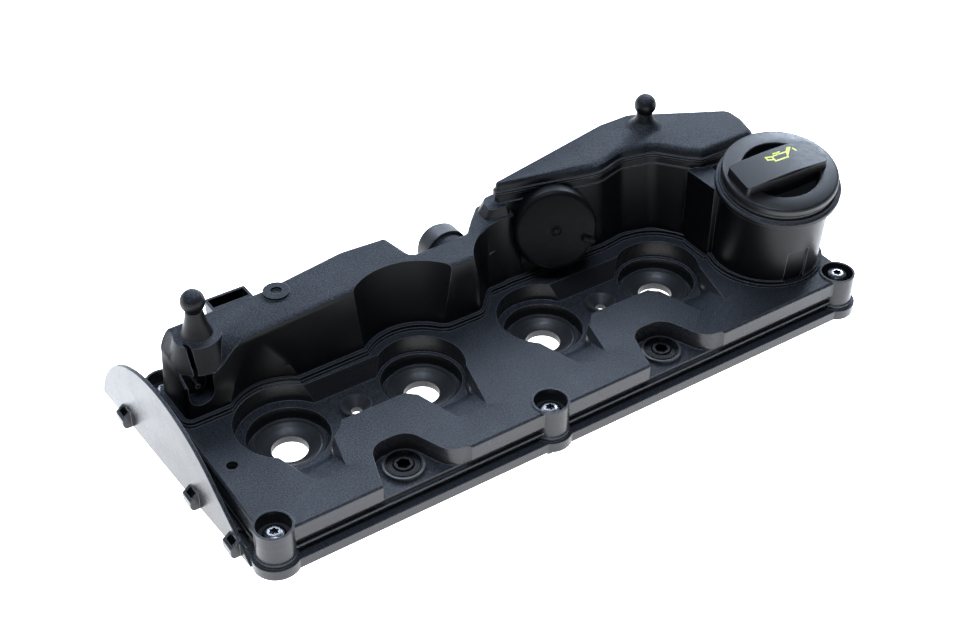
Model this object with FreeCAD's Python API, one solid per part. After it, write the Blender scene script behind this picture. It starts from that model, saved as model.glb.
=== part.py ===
# Cylinder head valve cover of a four-cylinder engine, with its oil separator and oil filler neck.
# Frame: the origin is on the first injector's axis at the level of its seal hole. +X runs along the
# injector row towards the filler neck, +Y towards the separator, +Z up. Lengths are in millimetres.
import FreeCAD, Part
import math
import os

from FreeCAD import Placement, Rotation, Vector

# Engine layout
CYLINDER_PITCH = 88.0
CYLINDERS = 4
INJECTORS = [CYLINDER_PITCH * i for i in range(CYLINDERS)]
CLAMP_BOLTS = [CYLINDER_PITCH * (i + 0.5) for i in range(0, CYLINDERS, 2)]

# Plan of the lower moulding
WALL_LEFT = -52.0
WALL_RIGHT = 361.0
WALL_HALF_WIDTH = 74.8
WALL_CORNER_R = 9.0
FLANGE_REACH = 4.2
FLANGE_CORNER_R = 13.0
FLANGE_WIDTH = 10.5

# Heights of the lower moulding
HEAD_FACE_Z = -4.5
FLANGE_TOP_Z = 2.0
GROOVE_TOP_Z = 12.0
GROOVE_DEPTH = 2.3
GROOVE_RIB_Z = 6.2
GROOVE_RIB_HEIGHT = 1.3
DECK_Z = 22.5
DECK_THICKNESS = 3.3
DECK_EDGE = 1.2

# Injector pockets, wells and seals
POCKET_FLOOR_Z = 10.5
POCKET_RADII = [30.5, 26.5, 29.0, 26.5]
POCKET_FRONT_Y = -16.5
POCKET_BACK_Y = 21.5
POCKET_BACK_DRAFT = 5.0
LOBE_TIP_Y = -54.5
LOBE_FOOT_Y = -27.0
LOBE_SHIFTS = [0.0, 3.5, 0.0, 3.5]
WELL_R = 24.3
WELL_FLOOR_Z = 1.0
WELL_FLOOR_THICKNESS = 3.0
TUB_WALL = 3.0
SEAL_HOLE_R = 10.7
SEAL_RIM_R = 20.9
SEAL_RIM_Z = 5.5
SEAL_NECK_R = 17.6
SEAL_FIT = 0.2
SEAL_HOLE_TOP_Z = 0.5
SEAL_FOOT_Z = -4.0
CLAMP_RIM_R = 9.3
CLAMP_RIM_Z = 13.0
CLAMP_BORE_R = 3.2
CLAMP_BORE_TOP_Z = 8.0
CLAMP_NECK_R = 6.4

# Screws in the corner and middle bosses
SCREW_XS = [-44.0, 132.3, 354.0]
SCREW_Y = 68.2
BOSS_R = 11.0
BOSS_FOOT_R = 13.6
BOSS_BAND_R = 11.8
BOSS_BAND_Z = 4.6
BOSS_TOP_Z = 23.3
BOSS_RECESS_R = 9.75
BOSS_FLOOR_Z = 11.0
SCREW_SHANK_R = 3.0
SCREW_HEAD_R = 6.6
SCREW_HEAD_HEIGHT = 3.4
SCREW_LENGTH = 32.0
SCREW_THREAD = 6.0
SCREW_THREAD_R = 2.7
THREAD_POINT = 1.0
GROMMET_HEIGHT = 4.0
LOOSE_SCREW_LIFT = 4.4
SLEEVE_R = 4.6
SLEEVE_BORE_R = 3.25
SLIP_FIT = 0.1

# Flange bolts in the open recesses of the front edge
FLANGE_BOLTS = [41.3, 222.4]
FLANGE_BOLT_Y = -57.0
RECESS_FLOOR_Z = 10.5
BOLT_FLANGE_R = 10.4
BOLT_FLANGE_HEIGHT = 2.7
BOLT_SEAL_R = 12.2
BOLT_SEAL_HEIGHT = 2.3
BOLT_SHANK_R = 4.0
BOLT_LENGTH = 26.0
BOLT_THREAD = 8.0
BOLT_THREAD_R = 3.6
BOLT_SOCKET_FLATS = 7.0
BOLT_BOSS_R = 9.0

# Half-round belt shield at the left end
SHIELD_PLAN = [(-57.6, -66.0), (-61.6, 0.0), (-67.2, 114.0)]
SHIELD_THICKNESS = 2.2
SHIELD_ARC_Y = 31.0
SHIELD_ARC_Z = -33.0
SHIELD_ARC_R = 85.0
SHIELD_FRONT_Y = -64.0
SHIELD_TABS_Y = [-54.0, -10.0, 72.0]
SHIELD_TAB_REACH = 6.5
SHIELD_TAB_WIDTH = 10.0
SHIELD_TAB_WALL = 1.6

# Weld seam between the mouldings
SEAM_STEP = 2.0
SEAM_LIP = 2.2
LAND_LIP = 2.8
SEAM_Z = DECK_Z + SEAM_STEP

# Upper moulding: long box over the cylinders
BOX_TOP_Z = 68.5
BOX_EDGE_R = 3.2
BOX_WALL = 3.0
BUMP_RADII = [34.0, 34.6, 35.2, 35.8]
BUMP_TOP_RADII = [25.0, 40.0, 43.0, 35.8]
END_FRONT_Y = 26.0
END_BACK_Y = 46.0
END_FRONT_PROFILE = [(-6.0, 70.5), (-16.5, 63.7), (-23.3, 56.8), (-28.6, 53.2), (-46.5, 49.6), (-52.0, 40.0)]
END_BACK_PROFILE = [(-6.0, 70.5), (-28.0, 69.6), (-34.0, 69.0), (-40.0, 67.4), (-46.5, 58.0), (-52.0, 48.0)]
END_SLOT = (-39.7, -37.3, 27.0, 39.5)
END_POCKET = (-45.3, -30.2, 34.6, 53.2)
END_POCKET_DEPTH = 9.5
STUD_PAD_R = 13.4
STUD_PAD_FOOT_R = 18.5
STUD_PAD_DEPTH = 15.0
SOCKET_PLAN = (-12.0, 13.5, 56.0, 71.0)
SOCKET_Z = (40.0, 66.6)
SOCKET_WALL = 1.6
ROOF_PAD = (24.8, 52.3)
ROOF_PAD_R = 7.8
ROOF_PAD_BORE_R = 3.4
ROOF_PAD_RISE = 1.6
VENT_START_Y = 38.0
VENT_BORE_START = 4.0
VENT_WALL = 2.5
BLOCK_TOP_Z = 74.0
RECESS_DEPTH = 1.2
RECESS_LOW_Z = 50.0
RECESS_PLAN = (160.5, 170.5, 30.0, 48.0)

# Upper moulding: high chamber at the right
CHAMBER_SEAM_Z = 80.0
LID_TOP_Z = 87.0
LID_ROLL = 5.5
LID_LIP = 1.2
LID_LIP_HEIGHT = 1.6
WALL_RIB_Z = 74.2
WALL_RIB = 0.8
WEB_X = 295.5
WEB_FRONT_Y = -11.0
WEB_TOP = 75.0
CHAMBER_ROOM_X = 237.0

# Oil filler neck, along its own leaning axis
NECK_X = 329.3
NECK_Y = -25.8
NECK_LEAN_X = -0.09
NECK_LEAN_Y = -0.16
NECK_R = 34.3
NECK_TOP_R = 33.4
NECK_BORE_R = 30.5
COLLAR_R = 38.4
COLLAR_HEIGHT = 5.2
COLLAR_STEP_R = 36.9
COLLAR_STEP = 1.2
COLLAR_TOP = 64.5
HOOK_DEG = -99.0
HOOK_WIDTH = 14.5
HOOK_FOOT = 4.5
HOOK_TOP = 33.0
HOOK_DEPTH = 2.4
LEDGE_R = 26.2
LEDGE_HEIGHT = 4.5
BAYONET_SLOT_DEG = 60.0
BAYONET_LUG_DEG = 50.0
BAYONET_LUG_HEIGHT = 3.2

# Oil cap
CAP_R = 35.6
CAP_HEIGHT = 5.7
CAP_SEAL_HEIGHT = 2.4
CAP_CLEARANCE = 0.1
CAP_RUNNING_GAP = 0.5
CAP_PLUG_DEPTH = 13.0
CAP_WALL = 2.6
CAP_DISH_R = 23.5
CAP_DISH_DEPTH = 6.4
CAP_SEAL_R = 34.9
CAP_SEAL_BORE_R = 30.0
HANDLE_LENGTH = 59.0
HANDLE_OFFSET = -2.8
HANDLE_WIDTH = 23.4
HANDLE_BULGE = 1.4
HANDLE_RISE = 7.6
HANDLE_ARCH = 1.6
HANDLE_EDGE = 1.8
HANDLE_TURN_DEG = -6.5

# Pressure regulating valve: a drum on the front of the high chamber
VALVE_FACE = Vector(202.0, 25.4, 58.4)
VALVE_TURN_DEG = 24.5
VALVE_TILT_DEG = 14.0
VALVE_DRUM_R = 24.0
VALVE_DRUM_WALL = 2.5
VALVE_SKIRT = 13.4
VALVE_SKIRT_WALL = 1.9
VALVE_WALL = 1.8
VALVE_R = VALVE_DRUM_R + SLIP_FIT + VALVE_SKIRT_WALL
VALVE_DRUM_LENGTH = 36.0
VALVE_SEAT_DEPTH = 9.8
VALVE_ROOM_DEPTH = 17.0
VALVE_FIT = 0.3
DIAPHRAGM_THICKNESS = 1.2
DIAPHRAGM_FOLD = 4.0
CLIP_TAB_DEG = -44.0
CLIP_TAB_SIZE = (4.0, 9.0, 3.0)
SPRING_R = 9.0
SPRING_WIRE = 1.4
SPRING_TURNS = 3

# Ball studs that the engine's design cover snaps on to
BALL_R = 7.0
STUD_NECK_R = 4.8
LEFT_STUD = (-29.0, 43.0)
LEFT_STUD_RISE = 22.6
LEFT_STUD_BASE_R = 10.6
RIGHT_STUD = (292.5, 57.0)
RIGHT_STUD_RISE = 15.5
RIGHT_STUD_BASE_R = 12.0

# Vent spigot behind the narrow middle
VENT_X = 137.5
VENT_Z = 54.0
VENT_R = 12.5
VENT_LENGTH = 24.0
CLIP_R = 14.6
CLIP_WIDTH = 10.0

# Pieces inside
GASKET_INSET = 3.6
GASKET_WIDTH = 3.2
GASKET_DEPTH = 3.0
GASKET_PROUD = 1.0
BAFFLE_Z = 10.0
BAFFLE_THICKNESS = 2.0
BAFFLE_SCREW_R = 1.6
STANDOFF_R = 3.6
LOCATING_HOLE = (-41.8, -15.8)
LOCATING_HOLE_R = 3.3
DRAIN_HOLE_R = 1.9
INLET_SLOT = (11.0, 50.0, 57.0)
INLET_XS = [-10.0, 30.0, 70.0]
CYCLONE_XS = [-8.0, 30.0, 68.0]
CYCLONE_Y = 48.5
DRAIN_X = 131.0
DRAIN_Y = 30.0

UP = Vector(0, 0, 1)
FAR = 600.0


def cylinder(x, y, z0, z1, r, r_top=None):
    """Upright cylinder or cone between two heights."""
    if r_top is None or abs(r_top - r) < 1e-9:
        return Part.makeCylinder(r, z1 - z0, Vector(x, y, z0))
    return Part.makeCone(r, r_top, z1 - z0, Vector(x, y, z0))


def box(x0, x1, y0, y1, z0, z1):
    """Block between two corners."""
    return Part.makeBox(x1 - x0, y1 - y0, z1 - z0, Vector(x0, y0, z0))


def ring(x, y, z0, z1, r_out, r_in):
    """Upright tube between two heights."""
    return cylinder(x, y, z0, z1, r_out).cut(cylinder(x, y, z0 - 1, z1 + 1, r_in))


def turned(points, x=0.0, y=0.0, z=0.0):
    """Solid of revolution from (radius, height) points about an upright axis."""
    corners = [Vector(r, 0, h) for r, h in points]
    face = Part.Face(Part.makePolygon(corners + [corners[0]]))
    solid = face.revolve(Vector(0, 0, 0), UP, 360)
    solid.translate(Vector(x, y, z))
    return solid


def corner_arc(before, corner, after, radius):
    """Start, middle and end of the arc that rounds one corner of a flat outline."""
    a = (before - corner).normalize()
    b = (after - corner).normalize()
    half = a.getAngle(b) / 2
    reach = radius / math.tan(half)
    inward = (a + b).normalize()
    centre = corner + inward * (radius / math.sin(half))
    return corner + a * reach, centre - inward * radius, corner + b * reach


def outline(corners, z):
    """Closed wire at one height through (x, y, corner radius) corners."""
    count = len(corners)
    spots = [Vector(x, y, z) for x, y, r in corners]
    arcs = []
    for i, (x, y, r) in enumerate(corners):
        arcs.append(corner_arc(spots[i - 1], spots[i], spots[(i + 1) % count], r))
    edges = []
    for i in range(count):
        start, middle, end = arcs[i]
        edges.append(Part.Arc(start, middle, end).toShape())
        edges.append(Part.LineSegment(end, arcs[(i + 1) % count][0]).toShape())
    return Part.Wire(edges)


def grown(corners, amount):
    """The same outline moved outwards by an amount, or inwards if it is negative."""
    count = len(corners)
    result = []
    for i, (x, y, r) in enumerate(corners):
        here = Vector(x, y, 0)
        a = (here - Vector(corners[i - 1][0], corners[i - 1][1], 0)).normalize()
        following = corners[(i + 1) % count]
        b = (Vector(following[0], following[1], 0) - here).normalize()
        out_a = Vector(a.y, -a.x, 0)
        out_b = Vector(b.y, -b.x, 0)
        moved = here + (out_a + out_b) * (amount / (1 + out_a.dot(out_b)))
        bends_left = a.cross(b).z > 0
        result.append((moved.x, moved.y, max(r + amount if bends_left else r - amount, 0.4)))
    return result


def prism(corners, z0, z1):
    """Upright solid over an outline."""
    return Part.Face(outline(corners, z0)).extrude(Vector(0, 0, z1 - z0))


def loft(sections):
    """Ruled solid through (corners, height) sections."""
    return Part.makeLoft([outline(corners, z) for corners, z in sections], True, True)


def blend(start, end, share):
    """Outline part of the way between two that match corner for corner."""
    return [tuple(a + (b - a) * share for a, b in zip(p, q)) for p, q in zip(start, end)]


def rolled_block(foot, shoulder, roof, z0, z1, edge):
    """Drafted block whose top edge is rolled over from its shoulder on to its roof."""
    sections = [(foot, z0)]
    for degrees in (0, 35, 65, 90):
        angle = math.radians(degrees)
        height = z1 - edge + edge * math.sin(angle)
        sections.append((blend(shoulder, roof, 1 - math.cos(angle)), height))
    return loft(sections)


def shortened(corners, x):
    """The same outline with its left end cut back to one place along X."""
    first, second = corners[0], corners[1]
    last, before = corners[-1], corners[-2]
    front = first[1] + (second[1] - first[1]) * (x - first[0]) / (second[0] - first[0])
    back = last[1] + (before[1] - last[1]) * (x - last[0]) / (before[0] - last[0])
    return [(x, front, 1.0), (second[0], second[1], 2.0)] + corners[2:-1] + [(x, back, 1.0)]


def rectangle(x0, x1, y0, y1, r):
    """Corners of a rounded rectangle, anticlockwise."""
    return [(x0, y0, r), (x1, y0, r), (x1, y1, r), (x0, y1, r)]


def fused(shapes):
    """One solid out of several that meet."""
    first, *rest = shapes
    return first.fuse(rest).removeSplitter() if rest else first


def neck_frame():
    """Placement of the filler neck: its own +Z runs up the leaning axis from the deck."""
    axis = Vector(NECK_LEAN_X, NECK_LEAN_Y, 1).normalize()
    return Placement(Vector(NECK_X, NECK_Y, DECK_Z), Rotation(UP, axis))


def valve_frame():
    """Placement of the valve drum: its own +Z runs out of the round face towards the front."""
    turn = math.radians(VALVE_TURN_DEG)
    tilt = math.radians(VALVE_TILT_DEG)
    level = math.cos(tilt)
    axis = Vector(-math.sin(turn) * level, -math.cos(turn) * level, math.sin(tilt))
    return Placement(VALVE_FACE, Rotation(UP, axis))


def placed(shape, placement):
    """A copy of the shape moved from its own frame to the cover's."""
    copy = shape.copy()
    copy.Placement = placement.multiply(copy.Placement)
    return copy


def screw_spots():
    """Plan places of the six cover screws, front row first."""
    return [(x, side * SCREW_Y) for side in (-1, 1) for x in SCREW_XS]


WALL_PLAN = rectangle(WALL_LEFT, WALL_RIGHT, -WALL_HALF_WIDTH, WALL_HALF_WIDTH, WALL_CORNER_R)
FLANGE_PLAN = [(x, y, FLANGE_CORNER_R) for x, y, r in grown(WALL_PLAN, FLANGE_REACH)]
CAVITY_PLAN = [(x, y, WALL_CORNER_R) for x, y, r in grown(FLANGE_PLAN, -FLANGE_WIDTH)]


def box_foot():
    """Plan of the long box where it meets the deck."""
    return [
        (-48.5, 24.8, 4.0),
        (64.0, 26.4, 3.0),
        (110.0, 25.0, 6.0),
        (119.0, 19.0, 9.0),
        (143.0, 19.0, 8.0),
        (158.0, 34.5, 6.0),
        (186.0, 35.0, 2.0),
        (186.0, 64.5, 3.0),
        (168.0, 64.5, 4.0),
        (159.0, 55.0, 6.0),
        (151.0, 46.0, 5.0),
        (109.0, 46.0, 5.0),
        (105.5, 67.0, 3.0),
        (75.0, 68.8, 20.0),
        (20.0, 60.0, 20.0),
        (-48.5, 60.0, 5.0),
    ]


def box_top():
    """Plan of the long box at roof level, corner for corner with its foot."""
    return [
        (-47.0, 23.0, 4.0),
        (64.0, 30.5, 3.0),
        (108.0, 30.5, 6.0),
        (119.0, 19.5, 9.0),
        (142.0, 18.8, 8.0),
        (157.0, 37.5, 6.0),
        (184.0, 43.0, 2.0),
        (184.0, 64.0, 3.0),
        (168.0, 64.0, 4.0),
        (158.0, 54.0, 6.0),
        (148.0, 43.0, 5.0),
        (108.5, 42.0, 5.0),
        (104.5, 66.0, 3.0),
        (75.0, 68.0, 20.0),
        (20.0, 59.5, 20.0),
        (-46.5, 58.0, 5.0),
    ]


def chamber_foot():
    """Plan of the high chamber where it meets the deck."""
    return [
        (173.0, 35.0, 1.5),
        (246.0, 34.2, 20.0),
        (264.0, 36.5, 12.0),
        (284.0, 30.5, 12.0),
        (295.5, 14.0, 10.0),
        (297.0, 4.0, 4.0),
        (348.0, 4.0, 6.0),
        (351.5, 22.0, 6.0),
        (351.5, 44.0, 6.0),
        (335.0, 54.0, 10.0),
        (294.0, 73.4, 10.0),
        (270.0, 73.0, 15.0),
        (173.0, 51.5, 1.5),
    ]


def chamber_top():
    """Plan of the high chamber at its lid seam, corner for corner with its foot."""
    return [
        (176.5, 52.5, 1.0),
        (242.0, 36.0, 20.0),
        (262.0, 41.5, 12.0),
        (284.0, 36.0, 12.0),
        (297.0, 20.0, 10.0),
        (305.0, 12.8, 4.0),
        (348.5, 12.8, 6.0),
        (352.0, 30.0, 6.0),
        (352.0, 43.5, 6.0),
        (335.0, 52.5, 10.0),
        (294.0, 75.5, 10.0),
        (270.0, 75.0, 15.0),
        (176.5, 55.5, 1.0),
    ]


def lid_roof():
    """Plan of the flat roof of the chamber's lid, corner for corner with its seam."""
    return [
        (178.0, 53.4, 0.5),
        (243.0, 43.5, 20.0),
        (262.0, 47.0, 12.0),
        (286.0, 40.5, 12.0),
        (299.0, 25.0, 10.0),
        (307.0, 17.6, 4.0),
        (345.0, 17.6, 6.0),
        (349.0, 30.0, 6.0),
        (349.0, 42.0, 6.0),
        (334.0, 50.0, 10.0),
        (292.0, 72.5, 10.0),
        (270.0, 72.5, 15.0),
        (178.0, 54.8, 0.5),
    ]


def base_blank():
    """Flange, grooved side wall and deck edge, still solid."""
    groove_plan = grown(WALL_PLAN, -GROOVE_DEPTH)
    rib_top = GROOVE_RIB_Z + GROOVE_RIB_HEIGHT
    flange = prism(FLANGE_PLAN, HEAD_FACE_Z, FLANGE_TOP_Z)
    notch = rectangle(WALL_LEFT - 10.0, WALL_LEFT + 1.2, -56.0, -40.0, 5.0)
    flange = flange.cut(prism(notch, HEAD_FACE_Z - 1, FLANGE_TOP_Z + 1))
    return fused(
        [
            flange,
            prism(groove_plan, FLANGE_TOP_Z, GROOVE_TOP_Z),
            prism(WALL_PLAN, GROOVE_RIB_Z, rib_top),
            prism(WALL_PLAN, GROOVE_TOP_Z, DECK_Z - DECK_EDGE),
            loft([(WALL_PLAN, DECK_Z - DECK_EDGE), (grown(WALL_PLAN, -DECK_EDGE), DECK_Z)]),
        ]
    )


def lobe(x, shift, extra, floor_z):
    """Sloping scoop in front of one injector well, grown by an extra wall if it is a tub."""
    top = [(-26.0, 2.0, 10.0), (-9.0, LOBE_TIP_Y, 8.0), (8.5, LOBE_TIP_Y, 8.0), (22.5, 2.0, 10.0)]
    middle = [(-24.0, 2.0, 9.0), (-10.0, -38.0, 7.0), (9.5, -38.0, 7.0), (22.0, 2.0, 9.0)]
    foot = [(-22.0, 2.0, 9.0), (-12.0, LOBE_FOOT_Y, 6.0), (12.0, LOBE_FOOT_Y, 6.0), (22.0, 2.0, 9.0)]
    levels = (DECK_Z, (DECK_Z + 0.6 * POCKET_FLOOR_Z) / 1.6 - extra, floor_z)
    sections = []
    for corners, z in zip((top, middle, foot), levels):
        moved = [(x + shift + cx, cy, r) for cx, cy, r in corners]
        sections.append((grown(moved, extra), z))
    return loft(sections)


def pocket(pair, extra):
    """Hollow over a pair of injectors, or with an extra wall the tub that lines it."""
    floor_z = POCKET_FLOOR_Z - extra
    well_z = WELL_FLOOR_Z - (WELL_FLOOR_THICKNESS if extra else 0.0)
    x0 = INJECTORS[pair[0]]
    x1 = INJECTORS[pair[1]]
    top = rectangle(x0, x1, POCKET_FRONT_Y - extra, POCKET_BACK_Y + extra, 1.0)
    foot = rectangle(x0, x1, POCKET_FRONT_Y - extra, POCKET_BACK_Y - POCKET_BACK_DRAFT + extra, 1.0)
    shapes = [loft([(foot, floor_z), (top, DECK_Z)])]
    for i in pair:
        x = INJECTORS[i]
        shapes.append(cylinder(x, 0, floor_z, DECK_Z, POCKET_RADII[i] + extra))
        shapes.append(cylinder(x, 0, well_z, DECK_Z, WELL_R + extra))
        shapes.append(lobe(x, LOBE_SHIFTS[i], extra, floor_z))
    return fused(shapes)


def bolt_recess(x, extra):
    """Bell-shaped recess that is open to the front edge."""
    floor_z = RECESS_FLOOR_Z - (DECK_THICKNESS if extra else 0.0)
    y = FLANGE_BOLT_Y
    front = -WALL_HALF_WIDTH - 8.0
    corners = [
        (x - 25.5, front, 1.0),
        (x + 37.0, front, 1.0),
        (x + 36.5, -WALL_HALF_WIDTH + 0.5, 9.0),
        (x + 21.0, y - 14.0, 12.0),
        (x + 10.0, y + 13.5, 12.0),
        (x - 13.0, y + 13.5, 12.0),
        (x - 20.5, y - 9.0, 8.0),
    ]
    return prism(grown(corners, extra), floor_z, DECK_Z + 1)


def shield():
    """Half-round belt shield: a bent upright plate under an arc, with three clip tabs."""
    arc_start = math.radians(136)
    start_y = SHIELD_ARC_Y + SHIELD_ARC_R * math.cos(arc_start)
    start = Vector(0, start_y, SHIELD_ARC_Z + SHIELD_ARC_R * math.sin(arc_start))
    crown = Vector(0, SHIELD_ARC_Y, SHIELD_ARC_Z + SHIELD_ARC_R)
    half_chord = math.sqrt(SHIELD_ARC_R**2 - (HEAD_FACE_Z - SHIELD_ARC_Z) ** 2)
    back = Vector(0, SHIELD_ARC_Y + half_chord, HEAD_FACE_Z)
    front = Vector(0, SHIELD_FRONT_Y, HEAD_FACE_Z)
    profile = Part.Wire(
        [
            Part.LineSegment(front, start).toShape(),
            Part.Arc(start, crown, back).toShape(),
            Part.LineSegment(back, front).toShape(),
        ]
    )
    sweep = Part.Face(profile).extrude(Vector(-FAR, 0, 0))
    outer = [Vector(x, y, HEAD_FACE_Z) for x, y in SHIELD_PLAN]
    inner = [p + Vector(SHIELD_THICKNESS, 0, 0) for p in reversed(outer)]
    strip = Part.Face(Part.makePolygon(outer + inner + [outer[0]])).extrude(Vector(0, 0, FAR))
    return strip.common(sweep)


def shield_x(y):
    """Outer side of the shield at one place along its length."""
    (x0, y0), (x1, y1), (x2, y2) = SHIELD_PLAN
    if y < y1:
        return x0 + (x1 - x0) * (y - y0) / (y1 - y0)
    return x1 + (x2 - x1) * (y - y1) / (y2 - y1)


def shield_tab(y):
    """Hook-shaped clip tab on the outside of the shield's lower edge, hollow from above."""
    x = shield_x(y) + SHIELD_THICKNESS / 2
    tip = x - SHIELD_TAB_REACH
    foot = HEAD_FACE_Z
    side = Part.makePolygon(
        [
            Vector(x, y, foot),
            Vector(tip + 1.5, y, foot),
            Vector(tip, y, foot + 2.0),
            Vector(tip, y, foot + 7.0),
            Vector(x, y, foot + 12.0),
            Vector(x, y, foot),
        ]
    )
    wedge = Part.Face(side).extrude(Vector(0, SHIELD_TAB_WIDTH, 0))
    wall = SHIELD_TAB_WALL
    room = box(tip + wall, x - wall, y + wall, y + SHIELD_TAB_WIDTH - wall, foot + wall, foot + 20.0)
    return wedge.cut(room)


def shield_mount():
    """Ledge and gussets that join the shield to the end of the cover."""
    ledge_plan = [(WALL_LEFT + 2.0, -38.0), (WALL_LEFT + 2.0, 72.0)]
    outer = [(shield_x(y) + 1.0, y) for y in (72.0, 0.0, -38.0)]
    points = [Vector(x, y, HEAD_FACE_Z) for x, y in ledge_plan + outer]
    ledge = Part.Face(Part.makePolygon(points + [points[0]])).extrude(Vector(0, 0, 5.0))
    gussets = [
        box(shield_x(y) + 1.0, WALL_LEFT + 1.0, y - 1.25, y + 1.25, HEAD_FACE_Z, DECK_Z - 6.0)
        for y in (8.0, 38.0, 66.0)
    ]
    return [ledge] + gussets


def weld_slab():
    """Raised land under the whole upper moulding, the separator's floor."""
    land = fused(
        [
            prism(grown(box_foot(), LAND_LIP), DECK_Z - 1.0, SEAM_Z),
            prism(grown(chamber_foot(), LAND_LIP), DECK_Z - 1.0, SEAM_Z),
        ]
    )
    for x, r in zip(INJECTORS, BUMP_RADII):
        land = land.cut(cylinder(x, 0, DECK_Z - 2, SEAM_Z + 1, r - LAND_LIP))
    web = box(WEB_X - LAND_LIP, WEB_X + 12.0, WEB_FRONT_Y, 10.0, DECK_Z - 1.0, SEAM_Z)
    return fused([land, web, cylinder(NECK_X, NECK_Y, GROOVE_TOP_Z, SEAM_Z, NECK_R + LAND_LIP + 0.4)])


def cover_base():
    """The lower moulding."""
    pairs = [(i, i + 1) for i in range(0, CYLINDERS, 2)]
    tubs = [pocket(pair, TUB_WALL) for pair in pairs]
    tubs += [bolt_recess(x, TUB_WALL) for x in FLANGE_BOLTS]
    tubs += [cylinder(x, FLANGE_BOLT_Y, HEAD_FACE_Z, DECK_Z, BOLT_BOSS_R) for x in FLANGE_BOLTS]
    tubs += [cylinder(x, y, HEAD_FACE_Z, DECK_Z, BOSS_R - 1.0) for x, y in screw_spots()]
    tubs.append(ring(NECK_X, NECK_Y, HEAD_FACE_Z + 9.0, DECK_Z, NECK_BORE_R + 2.5, NECK_BORE_R - 1.5))
    hollow = prism(CAVITY_PLAN, HEAD_FACE_Z - 1, DECK_Z - DECK_THICKNESS).cut(tubs)
    bosses = [cylinder(x, y, HEAD_FACE_Z, BOSS_TOP_Z, BOSS_R) for x, y in screw_spots()]
    bosses += [cylinder(x, y, HEAD_FACE_Z, FLANGE_TOP_Z, BOSS_FOOT_R) for x, y in screw_spots()]
    bosses += [cylinder(x, y, FLANGE_TOP_Z, BOSS_BAND_Z, BOSS_BAND_R) for x, y in screw_spots()]
    body = fused([base_blank(), weld_slab()] + shield_mount() + bosses)
    body = body.cut(hollow)
    body = body.cut([pocket(pair, 0.0) for pair in pairs])
    body = body.cut([bolt_recess(x, 0.0) for x in FLANGE_BOLTS])
    holes = [cylinder(x, 0, -20, 20, SEAL_NECK_R + SEAL_FIT) for x in INJECTORS]
    holes += [cylinder(x, 0, -20, 20, CLAMP_NECK_R + SLIP_FIT) for x in CLAMP_BOLTS]
    holes += [cylinder(x, FLANGE_BOLT_Y, -20, 20, BOLT_SHANK_R + 0.4) for x in FLANGE_BOLTS]
    for x, y in screw_spots():
        holes.append(cylinder(x, y, BOSS_FLOOR_Z, DECK_Z + 5, BOSS_RECESS_R))
        holes.append(cylinder(x, y, -20, 20, SLEEVE_R + SLIP_FIT))
    holes.append(cylinder(NECK_X, NECK_Y, -20, SEAM_Z + 1, NECK_BORE_R - 1.5))
    holes.append(cylinder(*LOCATING_HOLE, DECK_Z - 10, DECK_Z + 1, LOCATING_HOLE_R))
    holes.append(cylinder(DRAIN_X, DRAIN_Y, DECK_Z - 10, SEAM_Z + 1, DRAIN_HOLE_R))
    half, y0, y1 = INLET_SLOT
    holes += [box(x - half, x + half, y0, y1, DECK_Z - 10, SEAM_Z + 1) for x in INLET_XS]
    groove = gasket_ring(GASKET_WIDTH, HEAD_FACE_Z - 1, HEAD_FACE_Z + GASKET_DEPTH)
    body = body.cut(holes + [groove])
    tabs = [shield_tab(y) for y in SHIELD_TABS_Y]
    standoffs = [cylinder(x, y, BAFFLE_Z + BAFFLE_THICKNESS, DECK_Z, STANDOFF_R) for x, y in baffle_spots()]
    pilots = [cylinder(x, y, BAFFLE_Z, DECK_Z - 2, BAFFLE_SCREW_R) for x, y in baffle_spots()]
    body = fused([body, shield()] + tabs + standoffs)
    return body.cut(pilots)


def gasket_ring(width, z0, z1):
    """Rounded rectangular ring that follows the flange's outer edge."""
    middle = grown(FLANGE_PLAN, -GASKET_INSET)
    return prism(grown(middle, width / 2), z0, z1).cut(prism(grown(middle, -width / 2), z0 - 1, z1 + 1))


def perimeter_gasket():
    """Rubber bead in the flange's groove, standing a little proud of it."""
    return gasket_ring(GASKET_WIDTH, HEAD_FACE_Z - GASKET_PROUD, HEAD_FACE_Z + GASKET_DEPTH)


def injector_seal(x):
    """Rubber funnel with a ridged rim, pressed into its well's floor."""
    foot = SEAL_FOOT_Z
    seat = WELL_FLOOR_Z
    profile = [
        (SEAL_HOLE_R, foot),
        (SEAL_NECK_R - 0.8, foot),
        (SEAL_NECK_R, foot + 1.2),
        (SEAL_NECK_R, seat),
        (SEAL_RIM_R + 1.0, seat),
        (SEAL_RIM_R + 1.0, SEAL_RIM_Z - 1.6),
        (SEAL_RIM_R, SEAL_RIM_Z),
        (SEAL_RIM_R - 1.3, SEAL_RIM_Z - 0.2),
        (SEAL_RIM_R - 1.9, SEAL_RIM_Z - 1.2),
        (SEAL_RIM_R - 3.0, SEAL_RIM_Z - 0.9),
        (SEAL_RIM_R - 5.6, SEAL_RIM_Z - 3.0),
        (SEAL_HOLE_R + 1.6, SEAL_HOLE_TOP_Z + 0.5),
        (SEAL_HOLE_R, SEAL_HOLE_TOP_Z),
    ]
    return turned(profile, x)


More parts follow.
